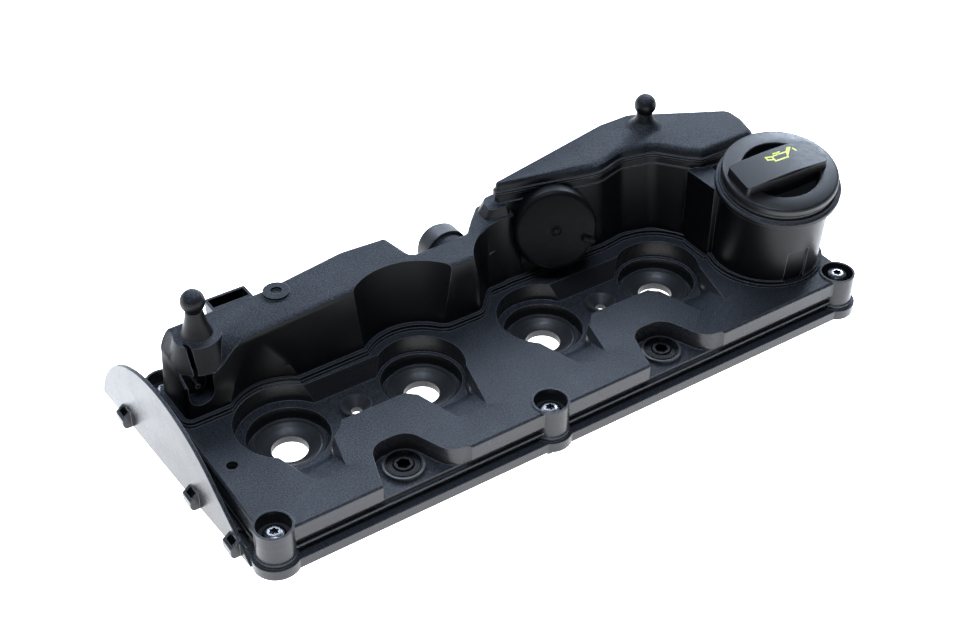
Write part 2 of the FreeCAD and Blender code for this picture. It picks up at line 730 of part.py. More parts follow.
def clamp_bolt_seal(x):
    """Small rubber funnel over a clamp bolt."""
    floor = POCKET_FLOOR_Z
    under = POCKET_FLOOR_Z - TUB_WALL
    profile = [
        (CLAMP_BORE_R, under - 3.0),
        (CLAMP_NECK_R, under - 3.0),
        (CLAMP_NECK_R, floor),
        (CLAMP_RIM_R + 0.6, floor),
        (CLAMP_RIM_R + 0.6, CLAMP_RIM_Z - 0.8),
        (CLAMP_RIM_R, CLAMP_RIM_Z),
        (CLAMP_RIM_R - 0.9, CLAMP_RIM_Z),
        (CLAMP_BORE_R + 0.6, CLAMP_BORE_TOP_Z + 0.6),
        (CLAMP_BORE_R, CLAMP_BORE_TOP_Z),
    ]
    return turned(profile, x)


def socket(x, y, z_top, depth, tip_r, root_r):
    """Star-shaped driving recess with six points."""
    corners = []
    for i in range(12):
        angle = math.radians(30 * i)
        r = tip_r if i % 2 == 0 else root_r
        corners.append(Vector(x + r * math.cos(angle), y + r * math.sin(angle), z_top - depth))
    return Part.Face(Part.makePolygon(corners + [corners[0]])).extrude(Vector(0, 0, depth + 1))


def threaded_shank(x, y, tip, top, r, core, thread):
    """Plain shank with a threaded end at the thread's pitch radius and a chamfered point."""
    shank = cylinder(x, y, tip + THREAD_POINT + thread, top, r)
    end = cylinder(x, y, tip + THREAD_POINT, tip + THREAD_POINT + thread + 1.0, core)
    point = cylinder(x, y, tip, tip + THREAD_POINT, core - 0.8 * THREAD_POINT, core)
    return fused([shank, end, point])


def cover_screw(x, y, lift):
    """Button screw with a star recess, captive in its boss."""
    seat = BOSS_FLOOR_Z + GROMMET_HEIGHT + SLIP_FIT + lift
    head = turned(
        [
            (0, seat),
            (SCREW_HEAD_R, seat),
            (SCREW_HEAD_R, seat + 0.35 * SCREW_HEAD_HEIGHT),
            (0.86 * SCREW_HEAD_R, seat + 0.75 * SCREW_HEAD_HEIGHT),
            (0.55 * SCREW_HEAD_R, seat + SCREW_HEAD_HEIGHT),
            (0, seat + SCREW_HEAD_HEIGHT),
        ],
        x,
        y,
    )
    tip = seat - SCREW_LENGTH
    shank = threaded_shank(x, y, tip, seat + 0.5, SCREW_SHANK_R, SCREW_THREAD_R, SCREW_THREAD)
    recess = socket(x, y, seat + SCREW_HEAD_HEIGHT, 2.3, 2.9, 2.0)
    return fused([head, shank]).cut(recess)


def screw_sleeves():
    """Steel spacer sleeves between the screws and the moulding."""
    return [ring(x, y, HEAD_FACE_Z, BOSS_FLOOR_Z, SLEEVE_R, SLEEVE_BORE_R) for x, y in screw_spots()]


def screw_grommets():
    """Rubber rings that grip the screws at the bottom of the boss recesses."""
    outer = BOSS_RECESS_R - 2 * SLIP_FIT
    inner = SCREW_SHANK_R + 0.05
    top = BOSS_FLOOR_Z + GROMMET_HEIGHT
    return [ring(x, y, BOSS_FLOOR_Z, top, outer, inner) for x, y in screw_spots()]


def flange_bolt(x):
    """Black bolt with a wide round flange and a hexagon socket."""
    y = FLANGE_BOLT_Y
    seat = RECESS_FLOOR_Z
    top = seat + BOLT_FLANGE_HEIGHT
    head = turned(
        [
            (0, seat),
            (BOLT_FLANGE_R, seat),
            (BOLT_FLANGE_R, top),
            (BOLT_FLANGE_R - 0.8, top),
            (BOLT_FLANGE_R - 1.2, top - 0.7),
            (6.2, top - 0.7),
            (5.4, top),
            (0, top),
        ],
        x,
        y,
    )
    tip = seat - BOLT_LENGTH
    shank = threaded_shank(x, y, tip, seat + 0.5, BOLT_SHANK_R, BOLT_THREAD_R, BOLT_THREAD)
    hexagon = []
    for i in range(6):
        angle = math.radians(60 * i + 15)
        r = BOLT_SOCKET_FLATS / math.sqrt(3)
        hexagon.append(Vector(x + r * math.cos(angle), y + r * math.sin(angle), top - 5.0))
    recess = Part.Face(Part.makePolygon(hexagon + [hexagon[0]])).extrude(Vector(0, 0, 8.0))
    return fused([head, shank]).cut(recess)


def flange_bolt_seal(x):
    """Rubber ring round the flange of a flange bolt."""
    floor = RECESS_FLOOR_Z
    return ring(x, FLANGE_BOLT_Y, floor, floor + BOLT_SEAL_HEIGHT, BOLT_SEAL_R, BOLT_FLANGE_R + SLIP_FIT)


def ball_stud(x, y, z, rise, base_r):
    """Ball on a flared cone, standing on a roof."""
    neck = rise - BALL_R + 1.2
    cone = turned(
        [
            (0, -2.0),
            (base_r, -2.0),
            (base_r, 0.0),
            (base_r - 1.6, 0.9),
            (STUD_NECK_R + 1.6, 0.5 * neck),
            (STUD_NECK_R, neck),
            (0, neck),
        ],
        x,
        y,
        z,
    )
    return fused([cone, Part.makeSphere(BALL_R, Vector(x, y, z + rise))])


def end_slope():
    """What is cut from the box's left end: a ramp at the front that flattens towards the ball stud."""
    far = END_FRONT_PROFILE[-1][0] - 20.0
    high = BOX_TOP_Z + 30.0
    sections = []
    for profile, y in (
        (END_FRONT_PROFILE, 0.0),
        (END_FRONT_PROFILE, END_FRONT_Y),
        (END_BACK_PROFILE, END_BACK_Y),
        (END_BACK_PROFILE, 95.0),
    ):
        spots = profile + [(far, profile[-1][1]), (far, high), (profile[0][0], high)]
        points = [Vector(x, y, z) for x, z in spots]
        sections.append(Part.makePolygon(points + [points[0]]))
    return Part.makeLoft(sections, True, True)


def end_pocket():
    """Round-bottomed pocket in the front wall beside the box's left corner."""
    x0, x1, z0, z1 = END_POCKET
    r = (x1 - x0) / 2
    y0 = 15.0
    depth = END_FRONT_Y - y0 + END_POCKET_DEPTH
    middle = (x0 + x1) / 2
    round_part = Part.makeCylinder(r, depth, Vector(middle, y0, z0 + r), Vector(0, 1, 0))
    return round_part.fuse(box(x0, x1, y0, y0 + depth, z0 + r, z1))


def pocket_ring():
    """Small moulded tube with a stem on the back wall of the end pocket."""
    x = END_POCKET[0] + 8.0
    z = END_POCKET[2] + 8.4
    wall_y = END_FRONT_Y + END_POCKET_DEPTH
    start = Vector(x, wall_y - 5.0, z)
    tube = Part.makeCylinder(1.7, 6.0, start, Vector(0, 1, 0)).cut(
        Part.makeCylinder(0.9, 4.0, start - Vector(0, 1, 0), Vector(0, 1, 0))
    )
    stem = box(x - 0.4, x + 0.4, wall_y - 3.5, wall_y + 1.0, z + 1.3, END_POCKET[3] + 1.0)
    stem.rotate(Vector(x, 0, z), Vector(0, 1, 0), -20)
    return [tube, stem]


def box_outer():
    """Outside of the long box, with the bulges that clear the injector pockets."""
    roof = grown(box_top(), -BOX_EDGE_R)
    body = rolled_block(box_foot(), box_top(), roof, SEAM_Z, BOX_TOP_Z, BOX_EDGE_R)
    cones = [
        cylinder(x, 0, SEAM_Z - 1, BOX_TOP_Z + 1, r0, r1)
        for x, r0, r1 in zip(INJECTORS, BUMP_RADII, BUMP_TOP_RADII)
    ]
    x, y = LEFT_STUD
    pad = cylinder(x, y, BOX_TOP_Z - STUD_PAD_DEPTH, BOX_TOP_Z, STUD_PAD_FOOT_R, STUD_PAD_R).common(body)
    return fused([body.cut(cones[:3] + [end_slope()]), pad])


def box_inner():
    """Inside of the long box, short of its sloping left end and the pocket there."""
    floor = grown(box_foot(), -BOX_WALL)
    ceiling = grown(box_top(), -BOX_WALL - 1.0)
    body = loft([(floor, SEAM_Z - 1), (ceiling, BOX_TOP_Z - BOX_WALL)])
    cones = [
        cylinder(x, 0, SEAM_Z - 2, BOX_TOP_Z + 1, r0 + BOX_WALL, r1 + BOX_WALL)
        for x, r0, r1 in zip(INJECTORS, BUMP_RADII, BUMP_TOP_RADII)
    ]
    low = END_POCKET[2] - BOX_WALL
    right = END_POCKET[1] + BOX_WALL
    end = box(-60, right, 0, END_FRONT_Y + END_POCKET_DEPTH + BOX_WALL, low, BOX_TOP_Z)
    slope = end_slope()
    slope.translate(Vector(BOX_WALL, 0, -BOX_WALL))
    return body.cut(cones[:3] + [end, slope])


def chamber_outer():
    """Outside of the high chamber, with the lip that its lid is welded to."""
    wall = loft([(chamber_foot(), SEAM_Z), (chamber_top(), CHAMBER_SEAM_Z)])
    lip = prism(grown(chamber_top(), LID_LIP), CHAMBER_SEAM_Z - LID_LIP_HEIGHT, CHAMBER_SEAM_Z)
    share = (WALL_RIB_Z - SEAM_Z) / (CHAMBER_SEAM_Z - SEAM_Z)
    around = grown(blend(chamber_foot(), chamber_top(), share), WALL_RIB)
    rib = prism(around, WALL_RIB_Z - WALL_RIB, WALL_RIB_Z)
    return fused([wall, lip, rib])


def neck_web():
    """Wall between the high chamber's corner and the filler neck."""
    plan = [(WEB_X, 15.0), (WEB_X, WEB_FRONT_Y), (WEB_X + 10.0, WEB_FRONT_Y - 6.0), (WEB_X + 16.0, 15.0)]
    points = [Vector(x, y, SEAM_Z) for x, y in plan]
    return Part.Face(Part.makePolygon(points + [points[0]])).extrude(Vector(0, 0, WEB_TOP - SEAM_Z))


def vent_block():
    """Moulded block on the roof between the vent spigot and the high chamber."""
    foot = [
        (162.0, 45.0, 2.0),
        (182.0, 44.0, 2.0),
        (183.0, 63.2, 2.5),
        (169.0, 62.5, 2.5),
        (163.0, 56.0, 2.5),
    ]
    roof = [
        (168.0, 47.0, 2.0),
        (180.0, 45.5, 2.0),
        (181.5, 61.5, 2.5),
        (172.5, 60.5, 2.5),
        (169.0, 56.0, 2.5),
    ]
    return loft([(foot, BOX_TOP_Z - 2.0), (roof, BLOCK_TOP_Z)])


def wall_recess():
    """Shallow rounded recess in the front wall under the moulded block."""
    corners = rectangle(*RECESS_PLAN, 1.5)
    cut = prism(corners, RECESS_LOW_Z, BOX_TOP_Z - 5.0)
    shell = loft(
        [(grown(box_foot(), -RECESS_DEPTH), SEAM_Z), (grown(box_top(), -RECESS_DEPTH), BOX_TOP_Z)]
    )
    return cut.cut(shell)


def chamber_inner():
    """Inside of the high chamber, open at the top."""
    foot = grown(shortened(chamber_foot(), CHAMBER_ROOM_X), -BOX_WALL)
    top = grown(shortened(chamber_top(), CHAMBER_ROOM_X), -BOX_WALL)
    return loft([(foot, SEAM_Z - 1), (top, CHAMBER_SEAM_Z + 1)])


def seam_flange():
    """Weld flange round the foot of the upper moulding."""
    plates = fused(
        [
            prism(grown(box_foot(), SEAM_LIP), SEAM_Z, SEAM_Z + SEAM_STEP),
            prism(grown(chamber_foot(), SEAM_LIP), SEAM_Z, SEAM_Z + SEAM_STEP),
            box(WEB_X - SEAM_LIP, WEB_X + 12.0, WEB_FRONT_Y, 10.0, SEAM_Z, SEAM_Z + SEAM_STEP),
        ]
    )
    cuts = [cylinder(x, 0, SEAM_Z - 1, BOX_TOP_Z, r - SEAM_LIP) for x, r in zip(INJECTORS, BUMP_RADII)]
    return plates.cut(cuts)


def neck_outer():
    """Outside of the filler neck and its collar, cut level at the seam."""
    tube = turned(
        [
            (0, -12.0),
            (NECK_R + 0.2, -12.0),
            (NECK_TOP_R, COLLAR_TOP - COLLAR_HEIGHT - 0.6),
            (COLLAR_R - 0.8, COLLAR_TOP - COLLAR_HEIGHT),
            (COLLAR_R, COLLAR_TOP - COLLAR_HEIGHT + 0.8),
            (COLLAR_R, COLLAR_TOP - COLLAR_STEP - 0.6),
            (COLLAR_R - 0.6, COLLAR_TOP - COLLAR_STEP),
            (COLLAR_STEP_R, COLLAR_TOP - COLLAR_STEP),
            (COLLAR_STEP_R - 0.5, COLLAR_TOP),
            (0, COLLAR_TOP),
        ]
    )
    below = box(NECK_X - 60, NECK_X + 60, NECK_Y - 60, NECK_Y + 60, DECK_Z - 40, SEAM_Z)
    upright = placed(tube, neck_frame()).cut(below)
    return fused([upright, cylinder(NECK_X, NECK_Y, SEAM_Z, SEAM_Z + SEAM_STEP, NECK_R + SEAM_LIP)])


def hook_recess():
    """U-shaped recess in the front of the filler neck."""
    width = HOOK_WIDTH / 2
    start = NECK_R - HOOK_DEPTH
    low = HOOK_FOOT + width
    arch = Part.makeCylinder(width, 20.0, Vector(start, 0, low), Vector(1, 0, 0))
    tool = arch.fuse(box(start, start + 20.0, -width, width, low, HOOK_TOP))
    tool.rotate(Vector(0, 0, 0), UP, HOOK_DEG)
    return placed(tool, neck_frame())


def sector(r0, r1, z0, z1, middle_deg, width_deg):
    """Upright ring sector."""
    piece = Part.makeCylinder(r1, z1 - z0, Vector(0, 0, z0), UP, width_deg)
    piece.rotate(Vector(0, 0, 0), UP, middle_deg - width_deg / 2)
    return piece.cut(cylinder(0, 0, z0 - 1, z1 + 1, r0))


def neck_inner():
    """Bore of the filler neck with the two slots of its bayonet ledge."""
    ledge_foot = COLLAR_TOP - LEDGE_HEIGHT
    bore = cylinder(0, 0, -20, ledge_foot, NECK_BORE_R)
    mouth = cylinder(0, 0, ledge_foot - 1, COLLAR_TOP + 1, LEDGE_R)
    slots = [
        sector(LEDGE_R - 1, NECK_BORE_R - 0.3, ledge_foot - 1, COLLAR_TOP + 1, angle, BAYONET_SLOT_DEG)
        for angle in (HANDLE_TURN_DEG + 90, HANDLE_TURN_DEG - 90)
    ]
    tool = placed(fused([bore, mouth] + slots), neck_frame())
    keep = box(NECK_X - 60, NECK_X + 60, NECK_Y - 60, NECK_Y + 60, SEAM_Z - 1, DECK_Z + 120)
    return tool.common(keep)


def valve_drum():
    """Drum that carries the regulating valve, reaching back as far as the chamber's rear wall."""
    drum = placed(cylinder(0, 0, -VALVE_DRUM_LENGTH, -VALVE_SEAT_DEPTH, VALVE_DRUM_R), valve_frame())
    rear = chamber_foot()
    left = rear[0][0] - 30.0
    plan = [(left, -20.0), (rear[-3][0], -20.0), (rear[-3][0], rear[-3][1]), (rear[-1][0], rear[-1][1])]
    points = [Vector(x, y, SEAM_Z) for x, y in plan + [(left, rear[-1][1])]]
    front_side = Part.Face(Part.makePolygon(points + [points[0]])).extrude(Vector(0, 0, 100))
    return drum.common(front_side)


def valve_clearance():
    """Room for the valve's cover and diaphragm in front of and round the drum."""
    outer = VALVE_R + VALVE_FIT
    skirt_gap = ring(0, 0, -VALVE_SKIRT - VALVE_FIT, 40.0, outer, VALVE_DRUM_R)
    front = cylinder(0, 0, -VALVE_SEAT_DEPTH, 40.0, VALVE_DRUM_R + 0.1)
    room = cylinder(0, 0, -VALVE_ROOM_DEPTH, 0, VALVE_DRUM_R - VALVE_DRUM_WALL)
    return [placed(shape, valve_frame()) for shape in (skirt_gap, front, room)]


def separator_housing():
    """The upper moulding."""
    vent_start = Vector(VENT_X, VENT_START_Y, VENT_Z)
    vent = Part.makeCylinder(VENT_R, VENT_LENGTH, vent_start, Vector(0, 1, 0))
    bore_start = vent_start - Vector(0, VENT_BORE_START, 0)
    vent_bore = Part.makeCylinder(VENT_R - VENT_WALL, 2 * VENT_LENGTH, bore_start, Vector(0, 1, 0))
    stud = ball_stud(LEFT_STUD[0], LEFT_STUD[1], BOX_TOP_Z, LEFT_STUD_RISE, LEFT_STUD_BASE_R)
    pad = ring(*ROOF_PAD, BOX_TOP_Z - 2, BOX_TOP_Z + ROOF_PAD_RISE, ROOF_PAD_R, ROOF_PAD_BORE_R)
    x0, x1, y0, y1 = SOCKET_PLAN
    z0, z1 = SOCKET_Z
    wall = SOCKET_WALL
    pocket_wall = prism(rectangle(x0, x1, y0, y1, 1.5), z0, z1)
    pocket_room = box(x0 + wall, x1 - wall, y0 + 5.4, y1 - wall, z0 + 4.0, z1 + 1.0)
    slot = box(*END_SLOT, 47.0, BOX_TOP_Z)
    body = fused([box_outer(), chamber_outer(), seam_flange(), vent, pocket_wall, pad, vent_block()])
    body = fused([body.cut([box_inner(), chamber_inner()]), neck_outer(), neck_web(), valve_drum()])
    rooms = [vent_bore, pocket_room, slot, end_pocket(), hook_recess(), wall_recess(), neck_inner()]
    body = body.cut(rooms + valve_clearance())
    seat = placed(ring(0, 0, -VALVE_ROOM_DEPTH - 1.0, -VALVE_ROOM_DEPTH + 3.0, 9.0, 6.5), valve_frame())
    return fused([body, seat, stud] + pocket_ring())


def separator_lid():
    """Roof of the high chamber, welded on at the upper seam."""
    foot = grown(chamber_top(), LID_LIP)
    rim = prism(foot, CHAMBER_SEAM_Z, CHAMBER_SEAM_Z + LID_LIP_HEIGHT)
    low = CHAMBER_SEAM_Z + LID_LIP_HEIGHT - 0.5
    roof = rolled_block(chamber_top(), chamber_top(), lid_roof(), low, LID_TOP_Z, LID_ROLL)
    inside = grown(shortened(chamber_top(), CHAMBER_ROOM_X), -BOX_WALL - 1.5)
    room = prism(inside, CHAMBER_SEAM_Z - 1, LID_TOP_Z - BOX_WALL)
    stud = ball_stud(RIGHT_STUD[0], RIGHT_STUD[1], LID_TOP_Z, RIGHT_STUD_RISE, RIGHT_STUD_BASE_R)
    return fused([fused([rim, roof]).cut([room] + valve_clearance()[:1]), stud])


def oil_cap():
    """Bayonet cap: rim, dished top with a wing handle, plug and two lugs."""
    foot = COLLAR_TOP + CAP_SEAL_HEIGHT + CAP_CLEARANCE
    top = foot + CAP_HEIGHT
    dish = top - CAP_DISH_DEPTH
    plug_r = LEDGE_R - CAP_RUNNING_GAP
    plug_foot = COLLAR_TOP - CAP_PLUG_DEPTH
    body = turned(
        [
            (0, dish - CAP_WALL),
            (plug_r - CAP_WALL, dish - CAP_WALL),
            (plug_r - CAP_WALL, plug_foot),
            (plug_r, plug_foot),
            (plug_r, foot),
            (CAP_R - 0.8, foot),
            (CAP_R, foot + 1.0),
            (CAP_R, top - 1.6),
            (CAP_R - 0.7, top - 0.5),
            (CAP_R - 2.0, top),
            (CAP_DISH_R + 0.6, top),
            (CAP_DISH_R, top - 0.6),
            (CAP_DISH_R - 1.2, dish),
            (0, dish),
        ]
    )
    half = HANDLE_LENGTH / 2
    wide = HANDLE_WIDTH / 2
    bulge = wide + HANDLE_BULGE
    handle_plan = [
        (-half, -wide, 3.0),
        (0.0, -bulge, 80.0),
        (half, -wide, 3.5),
        (half, wide, 8.5),
        (0.0, bulge, 80.0),
        (-half, wide, 3.0),
    ]
    shoulder = grown(handle_plan, -0.6)
    crown = top + HANDLE_RISE
    rim = grown(shoulder, -HANDLE_EDGE)
    handle = rolled_block(handle_plan, shoulder, rim, dish - 1.0, crown, HANDLE_EDGE)
    arch_r = (half**2 + HANDLE_ARCH**2) / (2 * HANDLE_ARCH)
    arch_start = Vector(0, -HANDLE_LENGTH, crown - arch_r)
    arch = Part.makeCylinder(arch_r, 2 * HANDLE_LENGTH, arch_start, Vector(0, 1, 0))
    handle = handle.common(arch)
    handle.translate(Vector(HANDLE_OFFSET, 0, 0))
    above = [cylinder(0, 0, foot + 1.0, top + 20, CAP_R - 0.4), cylinder(0, 0, dish - 1, top, CAP_DISH_R)]
    handle = handle.common(fused(above))
    handle.rotate(Vector(0, 0, 0), UP, HANDLE_TURN_DEG)
    lug_top = COLLAR_TOP - LEDGE_HEIGHT - 0.3
    lug_foot = lug_top - BAYONET_LUG_HEIGHT
    lugs = [
        sector(plug_r - 0.5, NECK_BORE_R - 0.9, lug_foot, lug_top, angle, BAYONET_LUG_DEG)
        for angle in (HANDLE_TURN_DEG, HANDLE_TURN_DEG + 180)
    ]
    return placed(fused([body, handle] + lugs), neck_frame())


def oil_cap_seal():
    """Ring seal between the cap's rim and the collar."""
    foot = COLLAR_TOP + CAP_CLEARANCE
    top = foot + CAP_SEAL_HEIGHT
    inner = CAP_SEAL_BORE_R
    outer = CAP_SEAL_R
    profile = [
        (inner, foot),
        (outer - 0.5, foot),
        (outer, foot + 0.5),
        (outer, top - 0.5),
        (outer - 0.5, top),
        (inner, top),
    ]
    return placed(turned(profile), neck_frame())


def pcv_cover():
    """Round cover of the regulating valve, with a rolled front edge and a centre nub."""
    inner = VALVE_DRUM_R + SLIP_FIT
    profile = [
        (inner, -VALVE_SKIRT),
        (VALVE_R, -VALVE_SKIRT),
        (VALVE_R, -3.0),
        (VALVE_R - 0.6, -1.4),
        (VALVE_R - 2.0, -0.3),
        (VALVE_R - 3.4, 0.0),
        (3.4, 0.0),
        (2.8, -0.6),
        (1.9, -0.6),
        (1.6, 0.5),
        (0, 0.5),
        (0, -VALVE_WALL),
        (inner, -VALVE_WALL),
    ]
    thick, length, rise = CLIP_TAB_SIZE
    tab = rolled_block(
        rectangle(VALVE_R - length, VALVE_R - 0.6, -thick / 2, thick / 2, 1.9),
        rectangle(VALVE_R - length, VALVE_R - 0.6, -thick / 2, thick / 2, 1.9),
        rectangle(VALVE_R - length + 0.8, VALVE_R - 1.4, -thick / 2 + 0.8, thick / 2 - 0.8, 1.1),
        -1.5,
        rise,
        0.8,
    )
    tab.rotate(Vector(0, 0, 0), UP, CLIP_TAB_DEG)
    return placed(fused([turned(profile), tab]), valve_frame())


def pcv_diaphragm():
    """Rubber diaphragm with its centre plate, clamped between the drum and the cover."""
    rim = -VALVE_SEAT_DEPTH
    fold_out = VALVE_DRUM_R - 6.0
    fold_in = VALVE_DRUM_R - 9.5
    plate = VALVE_DRUM_R - 11.0
    profile = [
        (0, rim - 1.5),
        (plate, rim - 1.5),
        (fold_in, rim - DIAPHRAGM_FOLD),
        (fold_out, rim - DIAPHRAGM_FOLD),
        (VALVE_DRUM_R - 4.0, rim),
        (VALVE_DRUM_R, rim),
        (VALVE_DRUM_R, rim + DIAPHRAGM_THICKNESS),
        (VALVE_DRUM_R - 4.8, rim + DIAPHRAGM_THICKNESS),
        (fold_out - 0.6, rim + DIAPHRAGM_THICKNESS - DIAPHRAGM_FOLD),
        (fold_in + 0.7, rim + DIAPHRAGM_THICKNESS - DIAPHRAGM_FOLD),
        (plate + 0.6, rim + 0.6),
        (0, rim + 0.6),
    ]
    return placed(turned(profile), valve_frame())


def pcv_spring():
    """Compression spring between the cover and the diaphragm's plate."""
    foot = -VALVE_SEAT_DEPTH + 0.6 + SPRING_WIRE / 2
    head = -VALVE_WALL - SPRING_WIRE / 2
    height = head - foot
    helix = Part.makeHelix(height / SPRING_TURNS, height, SPRING_R)
    half = SPRING_WIRE / 2
    square = [
        Vector(SPRING_R - half, 0, -half),
        Vector(SPRING_R + half, 0, -half),
        Vector(SPRING_R + half, 0, half),
        Vector(SPRING_R - half, 0, half),
    ]
    section = Part.makePolygon(square + [square[0]])
    coil = Part.Wire(helix).makePipeShell([section], True, True)
    coil.translate(Vector(0, 0, foot))
    return placed(coil, valve_frame())


def cyclone_block():
    """Three oil separating cones on a common tray, inside the long box."""
    floor = SEAM_Z
    shapes = [box(-20, 92, CYCLONE_Y - 6.5, CYCLONE_Y + 6.5, floor, floor + 2.5)]
    shapes += [cylinder(x, CYCLONE_Y, floor + 2.0, floor + 28.0, 4.0, 6.5) for x in CYCLONE_XS]
    body = fused(shapes)
    bores = [cylinder(x, CYCLONE_Y, floor - 1, floor + 29.0, 1.8, 5.2) for x in CYCLONE_XS]
    return body.cut(bores)


def baffle_spots():
    """Plan places of the baffle plate's screws."""
    return [(x, y) for x in (-25.0, 96.0) for y in (46.0, 62.0)]


def baffle_plate():
    """Splash plate under the separator's inlets."""
    plate = prism(rectangle(-30.0, 101.0, 39.5, 66.5, 4.0), BAFFLE_Z, BAFFLE_Z + BAFFLE_THICKNESS)
    lip = box(-24.0, 94.0, 39.5, 41.0, BAFFLE_Z, BAFFLE_Z + 5.0)
    holes = [cylinder(x, y, BAFFLE_Z - 1, BAFFLE_Z + 5, BAFFLE_SCREW_R + 0.2) for x, y in baffle_spots()]
    slots = [box(x - 14, x + 14, 60.0, 62.5, BAFFLE_Z - 1, BAFFLE_Z + 5) for x in (-6.0, 32.0, 70.0)]
    return fused([plate, lip]).cut(holes + slots)


def baffle_screws():
    """Four small screws that hold the baffle plate."""
    screws = []
    for x, y in baffle_spots():
        head = cylinder(x, y, BAFFLE_Z - 1.8, BAFFLE_Z, 2.4, 3.2)
        shank = cylinder(x, y, BAFFLE_Z - 0.5, BAFFLE_Z + 9.0, BAFFLE_SCREW_R)
        screws.append(fused([head, shank]))
    return screws


def drain_valve():
    """Rubber umbrella valve in the separator's oil return."""
    under = DECK_Z - DECK_THICKNESS
    profile = [
        (0, under - 2.4),
        (3.0, under - 2.4),
        (7.0, under - 0.8),
        (7.0, under),
        (1.8, under),
        (1.8, SEAM_Z),
        (2.8, SEAM_Z),
        (1.2, SEAM_Z + 3.0),
        (0, SEAM_Z + 3.0),
    ]
    return turned(profile, DRAIN_X, DRAIN_Y)


def vent_clip():
    """Retaining ring on the vent spigot, split at its top."""
    start = Vector(VENT_X, 38.0 + VENT_LENGTH - CLIP_WIDTH - 3.0, VENT_Z)
    outer = Part.makeCylinder(CLIP_R, CLIP_WIDTH, start, Vector(0, 1, 0))
    inner = Part.makeCylinder(VENT_R + SLIP_FIT, CLIP_WIDTH + 2, start - Vector(0, 1, 0), Vector(0, 1, 0))
    return outer.cut(inner)


def build_parts():
    """Every sub-part by node name."""
    parts = {
        "cover_base": cover_base(),
        "separator_housing": separator_housing(),
        "separator_lid": separator_lid(),
        "oil_cap": oil_cap(),
        "oil_cap_seal": oil_cap_seal(),
        "pcv_cover": pcv_cover(),
        "pcv_diaphragm": pcv_diaphragm(),
        "pcv_spring": pcv_spring(),
        "cyclone_block": cyclone_block(),
        "baffle_plate": baffle_plate(),
        "baffle_screws": Part.makeCompound(baffle_screws()),
        "drain_valve": drain_valve(),
        "vent_clip": vent_clip(),
        "perimeter_gasket": perimeter_gasket(),
        "screw_sleeves": Part.makeCompound(screw_sleeves()),
        "screw_grommets": Part.makeCompound(screw_grommets()),
    }
    for i, x in enumerate(INJECTORS):
        parts["injector_seal_%d" % (i + 1)] = injector_seal(x)
    for i, x in enumerate(CLAMP_BOLTS):
        parts["clamp_bolt_seal_%d" % (i + 1)] = clamp_bolt_seal(x)
    for i, x in enumerate(FLANGE_BOLTS):
        parts["flange_bolt_%d" % (i + 1)] = flange_bolt(x)
        parts["flange_bolt_seal_%d" % (i + 1)] = flange_bolt_seal(x)
    for i, (x, y) in enumerate(screw_spots()):
        lift = LOOSE_SCREW_LIFT if i == 2 else 0.0
        parts["cover_screw_%d" % (i + 1)] = cover_screw(x, y, lift)
    return parts


def main():
    """Write one STEP file for each sub-part."""
    os.makedirs("parts", exist_ok=True)
    for name, shape in build_parts().items():
        shape.exportStep("parts/%s.step" % name)
        solids = shape.Solids
        print(name, len(solids), "solids", round(sum(s.Volume for s in solids)), "mm3", shape.isValid())


main()
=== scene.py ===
"""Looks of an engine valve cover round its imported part.

Finishes, the printed mark, screw threads, a blind hole's floor, the studio floor, its lights and the camera.
"""

import logging
import math
from abc import ABC, abstractmethod
from dataclasses import dataclass, field
from enum import Enum
from typing import Iterable, Sequence

import bmesh
import bpy
from mathutils import Matrix, Vector
from mathutils.bvhtree import BVHTree


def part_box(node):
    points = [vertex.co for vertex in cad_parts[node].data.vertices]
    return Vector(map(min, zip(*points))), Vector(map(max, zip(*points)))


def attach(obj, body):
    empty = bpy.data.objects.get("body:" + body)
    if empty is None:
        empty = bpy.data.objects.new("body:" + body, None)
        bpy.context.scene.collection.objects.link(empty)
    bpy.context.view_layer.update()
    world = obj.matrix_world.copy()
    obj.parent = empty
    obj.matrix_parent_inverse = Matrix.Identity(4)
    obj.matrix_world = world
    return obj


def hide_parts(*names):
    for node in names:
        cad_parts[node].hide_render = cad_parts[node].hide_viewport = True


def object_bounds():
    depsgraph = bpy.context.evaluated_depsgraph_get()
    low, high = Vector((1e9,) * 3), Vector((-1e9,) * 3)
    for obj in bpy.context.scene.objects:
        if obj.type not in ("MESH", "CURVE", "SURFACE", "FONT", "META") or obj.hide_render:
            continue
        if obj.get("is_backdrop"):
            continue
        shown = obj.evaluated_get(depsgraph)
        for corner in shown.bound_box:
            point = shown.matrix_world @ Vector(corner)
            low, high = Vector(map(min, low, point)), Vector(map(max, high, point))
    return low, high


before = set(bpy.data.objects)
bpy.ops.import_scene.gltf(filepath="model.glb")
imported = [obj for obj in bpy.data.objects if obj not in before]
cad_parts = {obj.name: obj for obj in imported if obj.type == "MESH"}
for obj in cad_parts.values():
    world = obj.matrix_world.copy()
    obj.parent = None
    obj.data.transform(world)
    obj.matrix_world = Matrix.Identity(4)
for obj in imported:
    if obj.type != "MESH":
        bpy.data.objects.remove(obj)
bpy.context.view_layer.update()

log = logging.getLogger("valve_cover")

COVER_BODY = "cover"
CAP_BODY = "cap"

# Upward share of a normal below which a face counts as a wall, and above which as a top
WALL_UP = 0.25
TOP_UP = 0.85

# Agreement of rounded and own normal where an edge begins to show, and where it shows fully
EDGE_SOFT = 0.985
EDGE_HARD = 0.80

# Middle range of a fractal noise, where nearly all its values lie
NOISE_LOW = 0.3
NOISE_HIGH = 0.7

MILLIMETRE = 0.001
WELD = 2e-6
BEVEL_SAMPLES = 6


